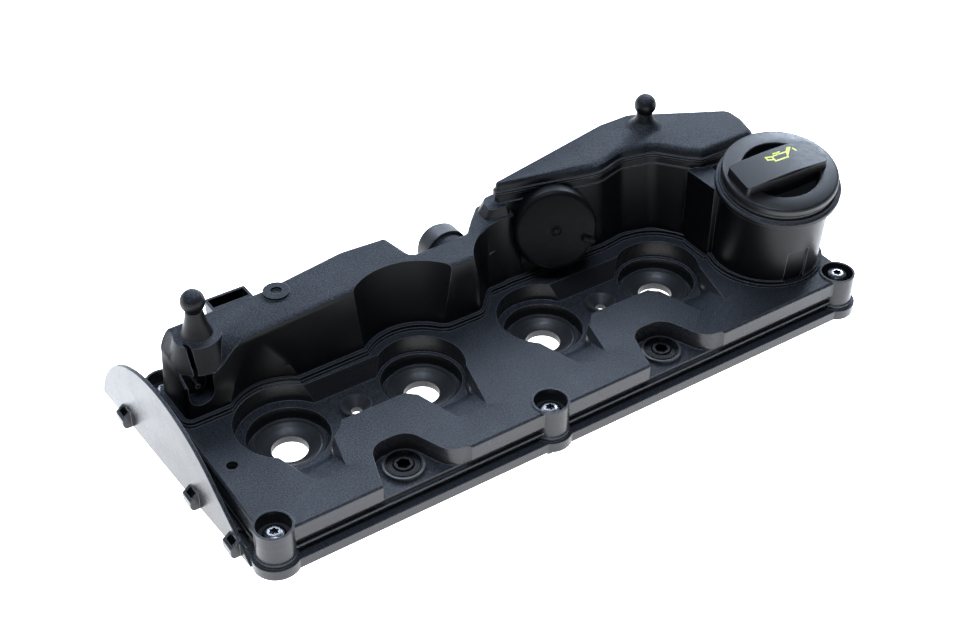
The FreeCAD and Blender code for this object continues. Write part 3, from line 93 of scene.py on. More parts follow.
class Slot(Enum):
    """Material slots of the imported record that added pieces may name."""

    BASE = "base_plastic"
    HOUSING = "housing_plastic"
    CAP = "cap_plastic"
    GREY = "grey_plastic"
    RUBBER = "black_rubber"
    SCREW = "screw_steel"
    SPRING = "spring_steel"
    BLACK_STEEL = "black_steel"


class Graph:
    """Short statements for building one material's node tree."""

    def __init__(self, name: str) -> None:
        """Start a material with only its shader and output.

        Args:
            name: The material's name.
        """
        self.material = bpy.data.materials.new(name)
        self.material.use_nodes = True
        self.tree = self.material.node_tree
        self.tree.nodes.clear()
        self.output = self.tree.nodes.new("ShaderNodeOutputMaterial")
        self.shader = self.tree.nodes.new("ShaderNodeBsdfPrincipled")
        self.link(self.shader.outputs["BSDF"], self.output.inputs["Surface"])
        self.coordinates = self.tree.nodes.new("ShaderNodeTexCoord")

    def link(self, source: bpy.types.NodeSocket, target: bpy.types.NodeSocket) -> None:
        """Join two sockets.

        Args:
            source: An output socket.
            target: An input socket.
        """
        self.tree.links.new(source, target)

    def noise(self, scale: float, detail: float = 3.0, roughness: float = 0.55) -> bpy.types.NodeSocket:
        """Add fractal noise on object coordinates.

        Args:
            scale: Features per metre.
            detail: Octaves of the noise.
            roughness: Strength of each finer octave.

        Returns:
            The noise value's socket.
        """
        node = self.tree.nodes.new("ShaderNodeTexNoise")
        node.inputs["Scale"].default_value = scale
        node.inputs["Detail"].default_value = detail
        node.inputs["Roughness"].default_value = roughness
        self.link(self.coordinates.outputs["Object"], node.inputs["Vector"])
        return node.outputs["Fac"]

    def edges(self, radius: float, soft: float, hard: float) -> bpy.types.NodeSocket:
        """Find edges by how far a rounded normal turns from the surface's own.

        Args:
            radius: How far from an edge it is still found, in metres.
            soft: Agreement of both normals from which an edge shows.
            hard: Agreement at which it shows fully.

        Returns:
            A value from 0 on plain faces to 1 on sharp edges.
        """
        rounded = self.tree.nodes.new("ShaderNodeBevel")
        rounded.samples = BEVEL_SAMPLES
        rounded.inputs["Radius"].default_value = radius
        own = self.tree.nodes.new("ShaderNodeNewGeometry")
        turn = self.tree.nodes.new("ShaderNodeVectorMath")
        turn.operation = "DOT_PRODUCT"
        self.link(rounded.outputs["Normal"], turn.inputs[0])
        self.link(own.outputs["Normal"], turn.inputs[1])
        return self.spread(turn.outputs["Value"], soft, hard, 0.0, 1.0)

    def streaks(self, across: float, along: float) -> bpy.types.NodeSocket:
        """Add noise drawn out level, for streaks of painted reflection on walls.

        Args:
            across: Streaks per metre of height.
            along: Changes per metre along a streak.

        Returns:
            The noise value's socket.
        """
        stretch = self.tree.nodes.new("ShaderNodeMapping")
        stretch.inputs["Scale"].default_value = (along, along, across)
        self.link(self.coordinates.outputs["Object"], stretch.inputs["Vector"])
        node = self.tree.nodes.new("ShaderNodeTexNoise")
        node.inputs["Scale"].default_value = 1.0
        node.inputs["Detail"].default_value = 4.0
        self.link(stretch.outputs["Vector"], node.inputs["Vector"])
        return node.outputs["Fac"]

    def spread(
        self, value: bpy.types.NodeSocket, low: float, high: float, to_low: float, to_high: float
    ) -> bpy.types.NodeSocket:
        """Map one range of a value on to another.

        Args:
            value: The value's socket.
            low: Lowest value taken in.
            high: Highest value taken in.
            to_low: What the lowest becomes.
            to_high: What the highest becomes.

        Returns:
            The mapped value's socket.
        """
        node = self.tree.nodes.new("ShaderNodeMapRange")
        self.link(value, node.inputs["Value"])
        for socket, number in zip(("From Min", "From Max", "To Min", "To Max"), (low, high, to_low, to_high)):
            node.inputs[socket].default_value = number
        return node.outputs["Result"]

    def calculate(
        self, operation: str, first: bpy.types.NodeSocket, second: bpy.types.NodeSocket | float
    ) -> bpy.types.NodeSocket:
        """Add a sum on one or two values.

        Args:
            operation: Name of the Math node's operation.
            first: The first value's socket.
            second: The second value's socket, or a number.

        Returns:
            The result's socket.
        """
        node = self.tree.nodes.new("ShaderNodeMath")
        node.operation = operation
        self.link(first, node.inputs[0])
        if isinstance(second, (int, float)):
            node.inputs[1].default_value = second
        else:
            self.link(second, node.inputs[1])
        return node.outputs["Value"]

    def mix(
        self,
        factor: bpy.types.NodeSocket,
        first: Sequence[float] | bpy.types.NodeSocket,
        second: Sequence[float] | bpy.types.NodeSocket,
    ) -> bpy.types.NodeSocket:
        """Mix two colours by a factor.

        Args:
            factor: The factor's socket.
            first: Colour or socket at factor 0.
            second: Colour or socket at factor 1.

        Returns:
            The mixed colour's socket.
        """
        node = self.tree.nodes.new("ShaderNodeMix")
        node.data_type = "RGBA"
        self.link(factor, node.inputs["Factor"])
        for name, colour in (("A", first), ("B", second)):
            socket = next(s for s in node.inputs if s.name == name and s.type == "RGBA")
            if isinstance(colour, bpy.types.NodeSocket):
                self.link(colour, socket)
            else:
                socket.default_value = (*colour, 1.0)
        return next(s for s in node.outputs if s.type == "RGBA")

    def facing_up(self, low: float, high: float) -> bpy.types.NodeSocket:
        """Tell upward faces from walls by the object's own normal.

        Args:
            low: Upward share of the normal that still counts as a wall.
            high: Upward share that counts as fully upward.

        Returns:
            A value from 0 on walls to 1 on upward faces.
        """
        split = self.tree.nodes.new("ShaderNodeSeparateXYZ")
        self.link(self.coordinates.outputs["Normal"], split.inputs["Vector"])
        return self.spread(split.outputs["Z"], low, high, 0.0, 1.0)

    def bump(
        self, height: bpy.types.NodeSocket, distance: float, strength: float, rounding: float = 0.0
    ) -> None:
        """Press a height pattern into the surface, over softly rounded edges.

        Args:
            height: The height's socket.
            distance: Height of the pattern in metres.
            strength: Share of the pattern that shows.
            rounding: Radius of the edges' rounding in metres, or 0 for none.
        """
        node = self.tree.nodes.new("ShaderNodeBump")
        node.inputs["Distance"].default_value = distance
        node.inputs["Strength"].default_value = strength
        self.link(height, node.inputs["Height"])
        if rounding > 0.0:
            edge = self.tree.nodes.new("ShaderNodeBevel")
            edge.samples = BEVEL_SAMPLES
            edge.inputs["Radius"].default_value = rounding
            self.link(edge.outputs["Normal"], node.inputs["Normal"])
        self.link(node.outputs["Normal"], self.shader.inputs["Normal"])


class Finish(ABC):
    """A surface finish that makes its material once."""

    @abstractmethod
    def build(self) -> bpy.types.Material:
        """Make the finish's material."""

    def dress(self, pieces: Iterable[bpy.types.Object]) -> None:
        """Give the finish to whole pieces.

        Args:
            pieces: Objects that take it.
        """
        material = self.build()
        for piece in pieces:
            piece.data.materials.clear()
            piece.data.materials.append(material)


@dataclass(frozen=True)
class GrainedPlastic(Finish):
    """Black glass-filled plastic: grained on top faces and smooth on walls, with tops painted greyer as
    painted light and walls painted deep black as painted shade.

    Edges carry a paler painted highlight, and walls may show level streaks of painted reflection.
    """

    name: str
    # Top and wall colours of one plastic: tops painted greyer as painted light, walls painted near black as
    # painted shade.
    top: tuple[float, float, float] = (0.012, 0.014, 0.018)
    wall: tuple[float, float, float] = (0.003, 0.003, 0.004)
    top_roughness: float = 0.46
    wall_roughness: float = 0.27
    grain_per_metre: float = 980.0
    grain_height: float = 0.00036
    grain_strength: float = 0.5
    wall_grain: float = 0.08
    # Gain of the brightest flecks: partly real grain, partly painted glints.
    bright_grain_and_glint: float = 4.6
    dull_grain: float = 0.05
    mottle_per_metre: float = 28.0
    mottle_share: float = 0.2
    cloud_per_metre: float = 60.0
    rounding: float = 0.0009
    specular: float = 0.42
    # Colour and share of the painted highlight along edges.
    edge: tuple[float, float, float] = (0.20, 0.21, 0.23)
    edge_highlight_share: float = 0.8
    # Colour and share of level streaks of painted reflection on walls.
    painted_reflection: tuple[float, float, float] = (0.045, 0.041, 0.038)
    painted_reflection_share: float = 0.0
    streaks_per_metre: float = 700.0
    streak_changes: float = 22.0

    def build(self) -> bpy.types.Material:
        """Make the grained plastic's material.

        Returns:
            The material, made once and found again by its name.
        """
        if self.name in bpy.data.materials:
            return bpy.data.materials[self.name]
        graph = Graph(self.name)
        # Share facing up: sets the painted light and shade of tops and walls, and the real grain and
        # roughness.
        up = graph.facing_up(WALL_UP, TOP_UP)
        speckle = graph.spread(graph.noise(self.grain_per_metre, 3.0, 0.75), 0.36, 0.66, 0.0, 1.0)
        mottle = graph.spread(graph.noise(self.mottle_per_metre, 4.0), NOISE_LOW, NOISE_HIGH, 0.0, 1.0)
        bright = tuple(self.bright_grain_and_glint * c for c in self.top)
        dull = tuple(self.dull_grain * c for c in self.top)
        # Flecks in the top colour: partly real grain, partly painted glints.
        top = graph.mix(speckle, dull, bright)
        top = graph.mix(graph.calculate("MULTIPLY", mottle, self.mottle_share), top, self.top)
        # Painted reflection: level brownish streaks laid on walls.
        drawn = graph.streaks(self.streaks_per_metre, self.streak_changes)
        painted_reflection_mask = graph.spread(drawn, 0.46, 0.68, 0.0, self.painted_reflection_share)
        # Painted light and shade: greyer tops and darker walls, by which way each face points.
        plain = graph.mix(up, graph.mix(painted_reflection_mask, self.wall, self.painted_reflection), top)
        # Painted highlight: edges found by the rounded normal are painted paler.
        ink_wear_and_edge_highlight = graph.calculate("MULTIPLY", graph.edges(self.rounding, EDGE_SOFT, EDGE_HARD), self.edge_highlight_share)
        graph.link(graph.mix(ink_wear_and_edge_highlight, plain, self.edge), graph.shader.inputs["Base Color"])
        cloud = graph.noise(self.cloud_per_metre, 3.0)
        dull_wall = self.wall_roughness + 0.02
        smooth = graph.spread(cloud, NOISE_LOW, NOISE_HIGH, self.wall_roughness - 0.02, dull_wall)
        coarse = graph.spread(mottle, 0.0, 1.0, self.top_roughness - 0.06, self.top_roughness + 0.08)
        span = graph.calculate("SUBTRACT", coarse, smooth)
        rough = graph.calculate("ADD", graph.calculate("MULTIPLY", span, up), smooth)
        graph.link(rough, graph.shader.inputs["Roughness"])
        graph.shader.inputs["Specular IOR Level"].default_value = self.specular
        height = graph.calculate("MULTIPLY", speckle, graph.spread(up, 0.0, 1.0, self.wall_grain, 1.0))
        graph.bump(height, self.grain_height, self.grain_strength, self.rounding)
        return graph.material


@dataclass(frozen=True)
class SatinPlastic(Finish):
    """Satin black plastic of the cap and the valve's cover, with a faint fine texture."""

    name: str
    colour: tuple[float, float, float] = (0.004, 0.0045, 0.006)
    roughness: float = 0.40
    rounding: float = 0.0007
    specular: float = 0.5
    cloud_per_metre: float = 90.0
    cloud_gain: float = 1.6
    gloss_per_metre: float = 420.0
    texture_per_metre: float = 2600.0
    texture_height: float = 0.00008

    def build(self) -> bpy.types.Material:
        """Make the satin plastic's material.

        Returns:
            The material, made once and found again by its name.
        """
        if self.name in bpy.data.materials:
            return bpy.data.materials[self.name]
        graph = Graph(self.name)
        cloud = graph.spread(graph.noise(self.cloud_per_metre, 4.0), NOISE_LOW, NOISE_HIGH, 0.0, 1.0)
        bright = tuple(self.cloud_gain * c for c in self.colour)
        graph.link(graph.mix(cloud, self.colour, bright), graph.shader.inputs["Base Color"])
        gloss = graph.noise(self.gloss_per_metre, 3.0)
        rough = graph.spread(gloss, NOISE_LOW, NOISE_HIGH, self.roughness - 0.05, self.roughness + 0.06)
        graph.link(rough, graph.shader.inputs["Roughness"])
        graph.shader.inputs["Specular IOR Level"].default_value = self.specular
        graph.bump(graph.noise(self.texture_per_metre, 2.0), self.texture_height, 0.3, self.rounding)
        return graph.material


@dataclass(frozen=True)
class SealRubber(Finish):
    """Smooth black rubber with dust in its pores."""

    name: str
    colour: tuple[float, float, float] = (0.028, 0.030, 0.034)
    dust: tuple[float, float, float] = (0.034, 0.035, 0.038)
    roughness: float = 0.42
    rounding: float = 0.0004
    sheen: float = 0.12
    dust_per_metre: float = 160.0
    gloss_per_metre: float = 300.0
    texture_per_metre: float = 1500.0
    texture_height: float = 0.00006

    def build(self) -> bpy.types.Material:
        """Make the rubber's material.

        Returns:
            The material, made once and found again by its name.
        """
        if self.name in bpy.data.materials:
            return bpy.data.materials[self.name]
        graph = Graph(self.name)
        dusty = graph.spread(graph.noise(self.dust_per_metre, 5.0), 0.45, 0.8, 0.0, 1.0)
        graph.link(graph.mix(dusty, self.colour, self.dust), graph.shader.inputs["Base Color"])
        gloss = graph.noise(self.gloss_per_metre, 4.0)
        rough = graph.spread(gloss, NOISE_LOW, NOISE_HIGH, self.roughness - 0.06, self.roughness + 0.12)
        graph.link(rough, graph.shader.inputs["Roughness"])
        graph.shader.inputs["Sheen Weight"].default_value = self.sheen
        graph.bump(graph.noise(self.texture_per_metre, 2.0), self.texture_height, 0.25, self.rounding)
        return graph.material


@dataclass(frozen=True)
class TurnedSteel(Finish):
    """Steel with a fine texture and worn spots, bright or blackened."""

    name: str
    colour: tuple[float, float, float] = (0.62, 0.62, 0.63)
    roughness: float = 0.26
    metallic: float = 1.0
    specular: float = 0.5
    rounding: float = 0.0003
    wear_per_metre: float = 350.0
    wear_share: float = 0.7
    gloss_per_metre: float = 900.0
    texture_per_metre: float = 3200.0
    texture_height: float = 0.00004

    def build(self) -> bpy.types.Material:
        """Make the steel's material.

        Returns:
            The material, made once and found again by its name.
        """
        if self.name in bpy.data.materials:
            return bpy.data.materials[self.name]
        graph = Graph(self.name)
        wear = graph.spread(graph.noise(self.wear_per_metre, 4.0), 0.35, 0.75, 0.0, 1.0)
        dull = tuple(self.wear_share * c for c in self.colour)
        graph.link(graph.mix(wear, self.colour, dull), graph.shader.inputs["Base Color"])
        gloss = graph.noise(self.gloss_per_metre, 3.0)
        rough = graph.spread(gloss, NOISE_LOW, NOISE_HIGH, self.roughness - 0.06, self.roughness + 0.1)
        graph.link(rough, graph.shader.inputs["Roughness"])
        graph.shader.inputs["Metallic"].default_value = self.metallic
        graph.shader.inputs["Specular IOR Level"].default_value = self.specular
        graph.bump(graph.noise(self.texture_per_metre, 2.0), self.texture_height, 0.3, self.rounding)
        return graph.material


@dataclass(frozen=True)
class PrintedInk(Finish):
    """Thin yellow-green print with a slightly broken edge."""

    name: str = "printed_ink"
    colour: tuple[float, float, float] = (0.80, 0.88, 0.16)
    ink_wear_and_edge_highlight: tuple[float, float, float] = (0.42, 0.46, 0.10)
    wear_per_metre: float = 1300.0
    gloss_per_metre: float = 700.0
    texture_per_metre: float = 2500.0
    texture_height: float = 0.00003

    def build(self) -> bpy.types.Material:
        """Make the ink's material.

        Returns:
            The material, made once and found again by its name.
        """
        if self.name in bpy.data.materials:
            return bpy.data.materials[self.name]
        graph = Graph(self.name)
        wear = graph.spread(graph.noise(self.wear_per_metre, 4.0), 0.5, 0.8, 0.0, 0.6)
        graph.link(graph.mix(wear, self.colour, self.ink_wear_and_edge_highlight), graph.shader.inputs["Base Color"])
        rough = graph.spread(graph.noise(self.gloss_per_metre), NOISE_LOW, NOISE_HIGH, 0.4, 0.6)
        graph.link(rough, graph.shader.inputs["Roughness"])
        graph.bump(graph.noise(self.texture_per_metre), self.texture_height, 0.3)
        return graph.material


# Base walls painted lighter grey, a painted reflection of the pale floor, with streaks of painted reflection.
BASE_PLASTIC = GrainedPlastic("grained_black_base", wall=(0.026, 0.027, 0.031), painted_reflection_share=0.5)
HOUSING_PLASTIC = GrainedPlastic(
    "grained_black_housing", top=(0.010, 0.012, 0.016), wall_roughness=0.36, specular=0.27
)
CAP_PLASTIC = SatinPlastic("satin_black_cap")
VALVE_PLASTIC = SatinPlastic("satin_black_valve", colour=(0.003, 0.003, 0.004), roughness=0.42, specular=0.14)
GREY_PLASTIC = SatinPlastic("dark_grey_plastic", colour=(0.05, 0.05, 0.054), roughness=0.45)
RUBBER = SealRubber("smooth_black_rubber")
BRIGHT_STEEL = TurnedSteel("bright_plated_steel", colour=(0.17, 0.17, 0.18), roughness=0.26)
SPRING_STEEL = TurnedSteel("drawn_spring_steel", colour=(0.45, 0.45, 0.46), roughness=0.3)
BLACK_STEEL = TurnedSteel(
    "blackened_steel", colour=(0.003, 0.003, 0.004), roughness=0.24, metallic=0.0, specular=0.10
)
INK = PrintedInk()


def smooth_copy(node: str, body: str, sharp_deg: float = 32.0) -> bpy.types.Object:
    """Stand a welded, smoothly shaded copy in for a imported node.

    Args:
        node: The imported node's name.
        body: The body that it rides on.
        sharp_deg: Edges that turn by more stay sharp.

    Returns:
        The copy.
    """
    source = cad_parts[node]
    mesh = source.data.copy()
    mesh.name = f"{node}_skin"
    if "custom_normal" in mesh.attributes:
        mesh.attributes.remove(mesh.attributes["custom_normal"])
    work = bmesh.new()
    work.from_mesh(mesh)
    bmesh.ops.remove_doubles(work, verts=work.verts, dist=WELD)
    for face in work.faces:
        face.smooth = True
    limit = math.radians(sharp_deg)
    for edge in work.edges:
        edge.smooth = edge.is_manifold and edge.calc_face_angle(0.0) < limit
    work.to_mesh(mesh)
    work.free()
    piece = bpy.data.objects.new(f"{node}_skin", mesh)
    bpy.context.scene.collection.objects.link(piece)
    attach(piece, body)
    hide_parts(node)
    return piece


@dataclass
class SubAssembly(ABC):
    """A group of pieces that is built and dressed together."""

    made: list[bpy.types.Object] = field(default_factory=list)

    @abstractmethod
    def build(self) -> None:
        """Make the group's pieces and dress them."""

    def skin(self, nodes: Iterable[str], finish: Finish, slot: Slot, body: str = COVER_BODY) -> None:
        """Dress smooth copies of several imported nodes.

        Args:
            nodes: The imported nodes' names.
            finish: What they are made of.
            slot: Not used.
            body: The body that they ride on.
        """
        for node in nodes:
            piece = smooth_copy(node, body)
            finish.dress([piece])
            self.made.append(piece)

    def report(self) -> None:
        """Log each piece of the group."""
        for piece in self.made:
            log.info("%s: %s, %d faces", type(self).__name__, piece.name, len(piece.data.polygons))


@dataclass(frozen=True)
class BlindCup:
    """Moulded cup that closes a hole under the deck."""

    name: str
    centre: tuple[float, float]
    bore_r: float = 0.0033
    outer_r: float = 0.0046
    low_z: float = 0.0110
    floor_z: float = 0.0125
    high_z: float = 0.0200
    segments: int = 40

    def build(self) -> bpy.types.Object:
        """Turn the cup's profile round its upright axis.

        Returns:
            The cup.
        """
        profile = [
            (0.0, self.low_z),
            (self.outer_r, self.low_z),
            (self.outer_r, self.high_z),
            (self.bore_r, self.high_z),
            (self.bore_r, self.floor_z),
            (0.0, self.floor_z),
        ]
        work = bmesh.new()
        points = [work.verts.new((r + self.centre[0], self.centre[1], z)) for r, z in profile]
        lines = [work.edges.new(pair) for pair in zip(points, points[1:])]
        bmesh.ops.spin(
            work,
            geom=points + lines,
            cent=(*self.centre, 0.0),
            axis=(0.0, 0.0, 1.0),
            angle=2 * math.pi,
            steps=self.segments,
            use_merge=True,
        )
        bmesh.ops.remove_doubles(work, verts=work.verts, dist=WELD)
        bmesh.ops.recalc_face_normals(work, faces=work.faces)
        mesh = bpy.data.meshes.new(self.name)
        work.to_mesh(mesh)
        work.free()
        cup = bpy.data.objects.new(self.name, mesh)
        bpy.context.scene.collection.objects.link(cup)
        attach(cup, COVER_BODY)
        return cup


@dataclass
class Mouldings(SubAssembly):
    """The two black mouldings and the chamber's lid."""

    locating_hole: BlindCup = BlindCup("locating_hole_floor", (-0.0418, -0.0158))

    def build(self) -> None:
        """Dress the mouldings and close the locating hole."""
        self.skin(["cover_base"], BASE_PLASTIC, Slot.BASE)
        cup = self.locating_hole.build()
        BASE_PLASTIC.dress([cup])
        self.made.append(cup)
        self.skin(["separator_housing", "separator_lid"], HOUSING_PLASTIC, Slot.HOUSING)


@dataclass
class PressureValve(SubAssembly):
    """The drum's cover with its diaphragm and spring."""

    def build(self) -> None:
        """Dress the valve's pieces."""
        self.skin(["pcv_cover"], VALVE_PLASTIC, Slot.CAP)
        self.skin(["pcv_diaphragm"], RUBBER, Slot.RUBBER)
        self.skin(["pcv_spring"], SPRING_STEEL, Slot.SPRING)


@dataclass
class Seals(SubAssembly):
    """Rubber funnels, rings, gasket and drain valve."""

    injectors: int = 4
    clamp_bolts: int = 2

    def build(self) -> None:
        """Dress the rubber pieces."""
        names = [f"injector_seal_{i + 1}" for i in range(self.injectors)]
        for i in range(self.clamp_bolts):
            names += [f"clamp_bolt_seal_{i + 1}", f"flange_bolt_seal_{i + 1}"]
        self.skin(names + ["perimeter_gasket", "screw_grommets", "drain_valve"], RUBBER, Slot.RUBBER)


class NodeTool:
    """A Geometry Nodes tree that is run once and leaves a plain mesh."""

    def __init__(self, name: str) -> None:
        """Start an empty tree.

        Args:
            name: The tree's name.
        """
        self.tree = bpy.data.node_groups.new(name, "GeometryNodeTree")
        self.tree.interface.new_socket("Geometry", in_out="OUTPUT", socket_type="NodeSocketGeometry")
        self.identifiers: dict[str, str] = {}
        self.values: dict[str, float | int | bpy.types.Material] = {}

    def add(self, kind: str) -> bpy.types.Node:
        """Add one node.

        Args:
            kind: The node's type name.

        Returns:
            The node.
        """
        return self.tree.nodes.new(kind)

    def link(self, source: bpy.types.NodeSocket, target: bpy.types.NodeSocket) -> None:
        """Join two sockets.

        Args:
            source: An output socket.
            target: An input socket.
        """
        self.tree.links.new(source, target)

    def opening(self, name: str, kind: str, value: float | int | bpy.types.Material | None = None) -> None:
        """Add one input to the tree.

        Args:
            name: The input's name.
            kind: The socket's type name.
            value: What it is set to when the tree runs.
        """
        socket = self.tree.interface.new_socket(name, in_out="INPUT", socket_type=kind)
        self.identifiers[name] = socket.identifier
        if value is not None:
            self.values[name] = value

    def run(self, name: str, mesh: bpy.types.Mesh) -> bpy.types.Object:
        """Run the tree on a mesh and keep the result as a plain object.

        Args:
            name: The new object's name.
            mesh: The mesh that the tree starts from.

        Returns:
            The new object.
        """
        carrier = bpy.data.objects.new(f"{name}_points", mesh)
        bpy.context.scene.collection.objects.link(carrier)
        modifier = carrier.modifiers.new(name, "NODES")
        modifier.node_group = self.tree
        for opening, value in self.values.items():
            modifier[self.identifiers[opening]] = value
        bpy.context.view_layer.update()
        held = carrier.evaluated_get(bpy.context.evaluated_depsgraph_get())
        result = bpy.data.meshes.new_from_object(held)
        result.name = name
        carrier.modifiers.remove(modifier)
        bpy.data.objects.remove(carrier)
        piece = bpy.data.objects.new(name, result)
        bpy.context.scene.collection.objects.link(piece)
        return piece


@dataclass(frozen=True)
class Thread:
    """Rolled thread on the ends of several screws of one size."""

    name: str
    major_r: float
    pitch: float
    length: float
    flank: float = 0.00034
    steps_a_turn: int = 24
    flanks: int = 4

    def build(self, starts: Sequence[Vector], finish: Finish, slot: Slot) -> bpy.types.Object:
        """Wind one ridge and repeat it at every screw.

        Args:
            starts: Lower end of each threaded length.
            finish: What the screws are made of.
            slot: Not used.

        Returns:
            All the ridges as one piece.
        """
        tool = NodeTool(f"{self.name}_tree")
        tool.opening("Points", "NodeSocketGeometry")
        tool.opening("Turns", "NodeSocketFloat", self.length / self.pitch)
        tool.opening("Length", "NodeSocketFloat", self.length)
        tool.opening("Radius", "NodeSocketFloat", self.major_r - self.flank)
        tool.opening("Flank", "NodeSocketFloat", self.flank)
        tool.opening("Material", "NodeSocketMaterial", finish.build())
        inlet = tool.add("NodeGroupInput")
        outlet = tool.add("NodeGroupOutput")
        spiral = tool.add("GeometryNodeCurveSpiral")
        spiral.inputs["Resolution"].default_value = self.steps_a_turn
        tool.link(inlet.outputs["Turns"], spiral.inputs["Rotations"])
        tool.link(inlet.outputs["Radius"], spiral.inputs["Start Radius"])
        tool.link(inlet.outputs["Radius"], spiral.inputs["End Radius"])
        tool.link(inlet.outputs["Length"], spiral.inputs["Height"])
        profile = tool.add("GeometryNodeCurvePrimitiveCircle")
        profile.inputs["Resolution"].default_value = self.flanks
        tool.link(inlet.outputs["Flank"], profile.inputs["Radius"])
        sweep = tool.add("GeometryNodeCurveToMesh")
        sweep.inputs["Fill Caps"].default_value = True
        tool.link(spiral.outputs["Curve"], sweep.inputs["Curve"])
        tool.link(profile.outputs["Curve"], sweep.inputs["Profile Curve"])
        spread = tool.add("GeometryNodeInstanceOnPoints")
        tool.link(inlet.outputs["Points"], spread.inputs["Points"])
        tool.link(sweep.outputs["Mesh"], spread.inputs["Instance"])
        real = tool.add("GeometryNodeRealizeInstances")
        tool.link(spread.outputs["Instances"], real.inputs["Geometry"])
        paint = tool.add("GeometryNodeSetMaterial")
        tool.link(real.outputs["Geometry"], paint.inputs["Geometry"])
        tool.link(inlet.outputs["Material"], paint.inputs["Material"])
        tool.link(paint.outputs["Geometry"], outlet.inputs["Geometry"])
        points = bpy.data.meshes.new(f"{self.name}_points")
        points.from_pydata([tuple(start) for start in starts], [], [])
        ridges = tool.run(self.name, points)
        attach(ridges, COVER_BODY)
        return ridges


@dataclass
class Fasteners(SubAssembly):
    """Cover screws, their sleeves, the flange bolts and the baffle's screws."""

    screws: int = 6
    bolts: int = 2
    point: float = 0.001
    screw_thread: Thread = Thread("screw_threads", 0.0030, 0.0010, 0.0052)
    bolt_thread: Thread = Thread("bolt_threads", 0.0040, 0.00125, 0.0070)

    def starts(self, nodes: Iterable[str]) -> list[Vector]:
        """Find where each screw's thread begins, above its chamfered point.

        Args:
            nodes: The screws' node names.

        Returns:
            One place on each screw's axis.
        """
        places = []
        for node in nodes:
            low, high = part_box(node)
            middle = (low + high) / 2
            places.append(Vector((middle.x, middle.y, low.z + self.point + self.screw_thread.flank)))
        return places

    def build(self) -> None:
        """Dress the steel pieces and wind their threads."""
        screws = [f"cover_screw_{i + 1}" for i in range(self.screws)]
        bolts = [f"flange_bolt_{i + 1}" for i in range(self.bolts)]
        self.made.append(self.screw_thread.build(self.starts(screws), BRIGHT_STEEL, Slot.SCREW))
        self.made.append(self.bolt_thread.build(self.starts(bolts), BLACK_STEEL, Slot.BLACK_STEEL))
        self.skin(screws + ["screw_sleeves", "baffle_screws"], BRIGHT_STEEL, Slot.SCREW)
        self.skin(bolts, BLACK_STEEL, Slot.BLACK_STEEL)


@dataclass
class InnerPlastics(SubAssembly):
    """Cyclone block, baffle plate and the vent's ring."""

    def build(self) -> None:
        """Dress the dark grey pieces."""
        self.skin(["cyclone_block", "baffle_plate", "vent_clip"], GREY_PLASTIC, Slot.GREY)


@dataclass(frozen=True)
class Tilt:
    """A leaning axis with a quarter direction round it, to place details in its own frame."""

    foot: tuple[float, float, float]
    lean: tuple[float, float]
    turn_deg: float

    def matrix(self) -> Matrix:
        """Give the frame's matrix.

        Returns:
            A matrix from the frame, in metres, to the part's frame.
        """
        axis = Vector((self.lean[0], self.lean[1], 1.0)).normalized()
        lean = Vector((0.0, 0.0, 1.0)).rotation_difference(axis).to_matrix().to_4x4()
        turn = Matrix.Rotation(math.radians(self.turn_deg), 4, "Z")
        return Matrix.Translation(Vector(self.foot)) @ lean @ turn


NECK_TILT = Tilt((0.3293, -0.0258, 0.0225), (-0.09, -0.16), -6.5)


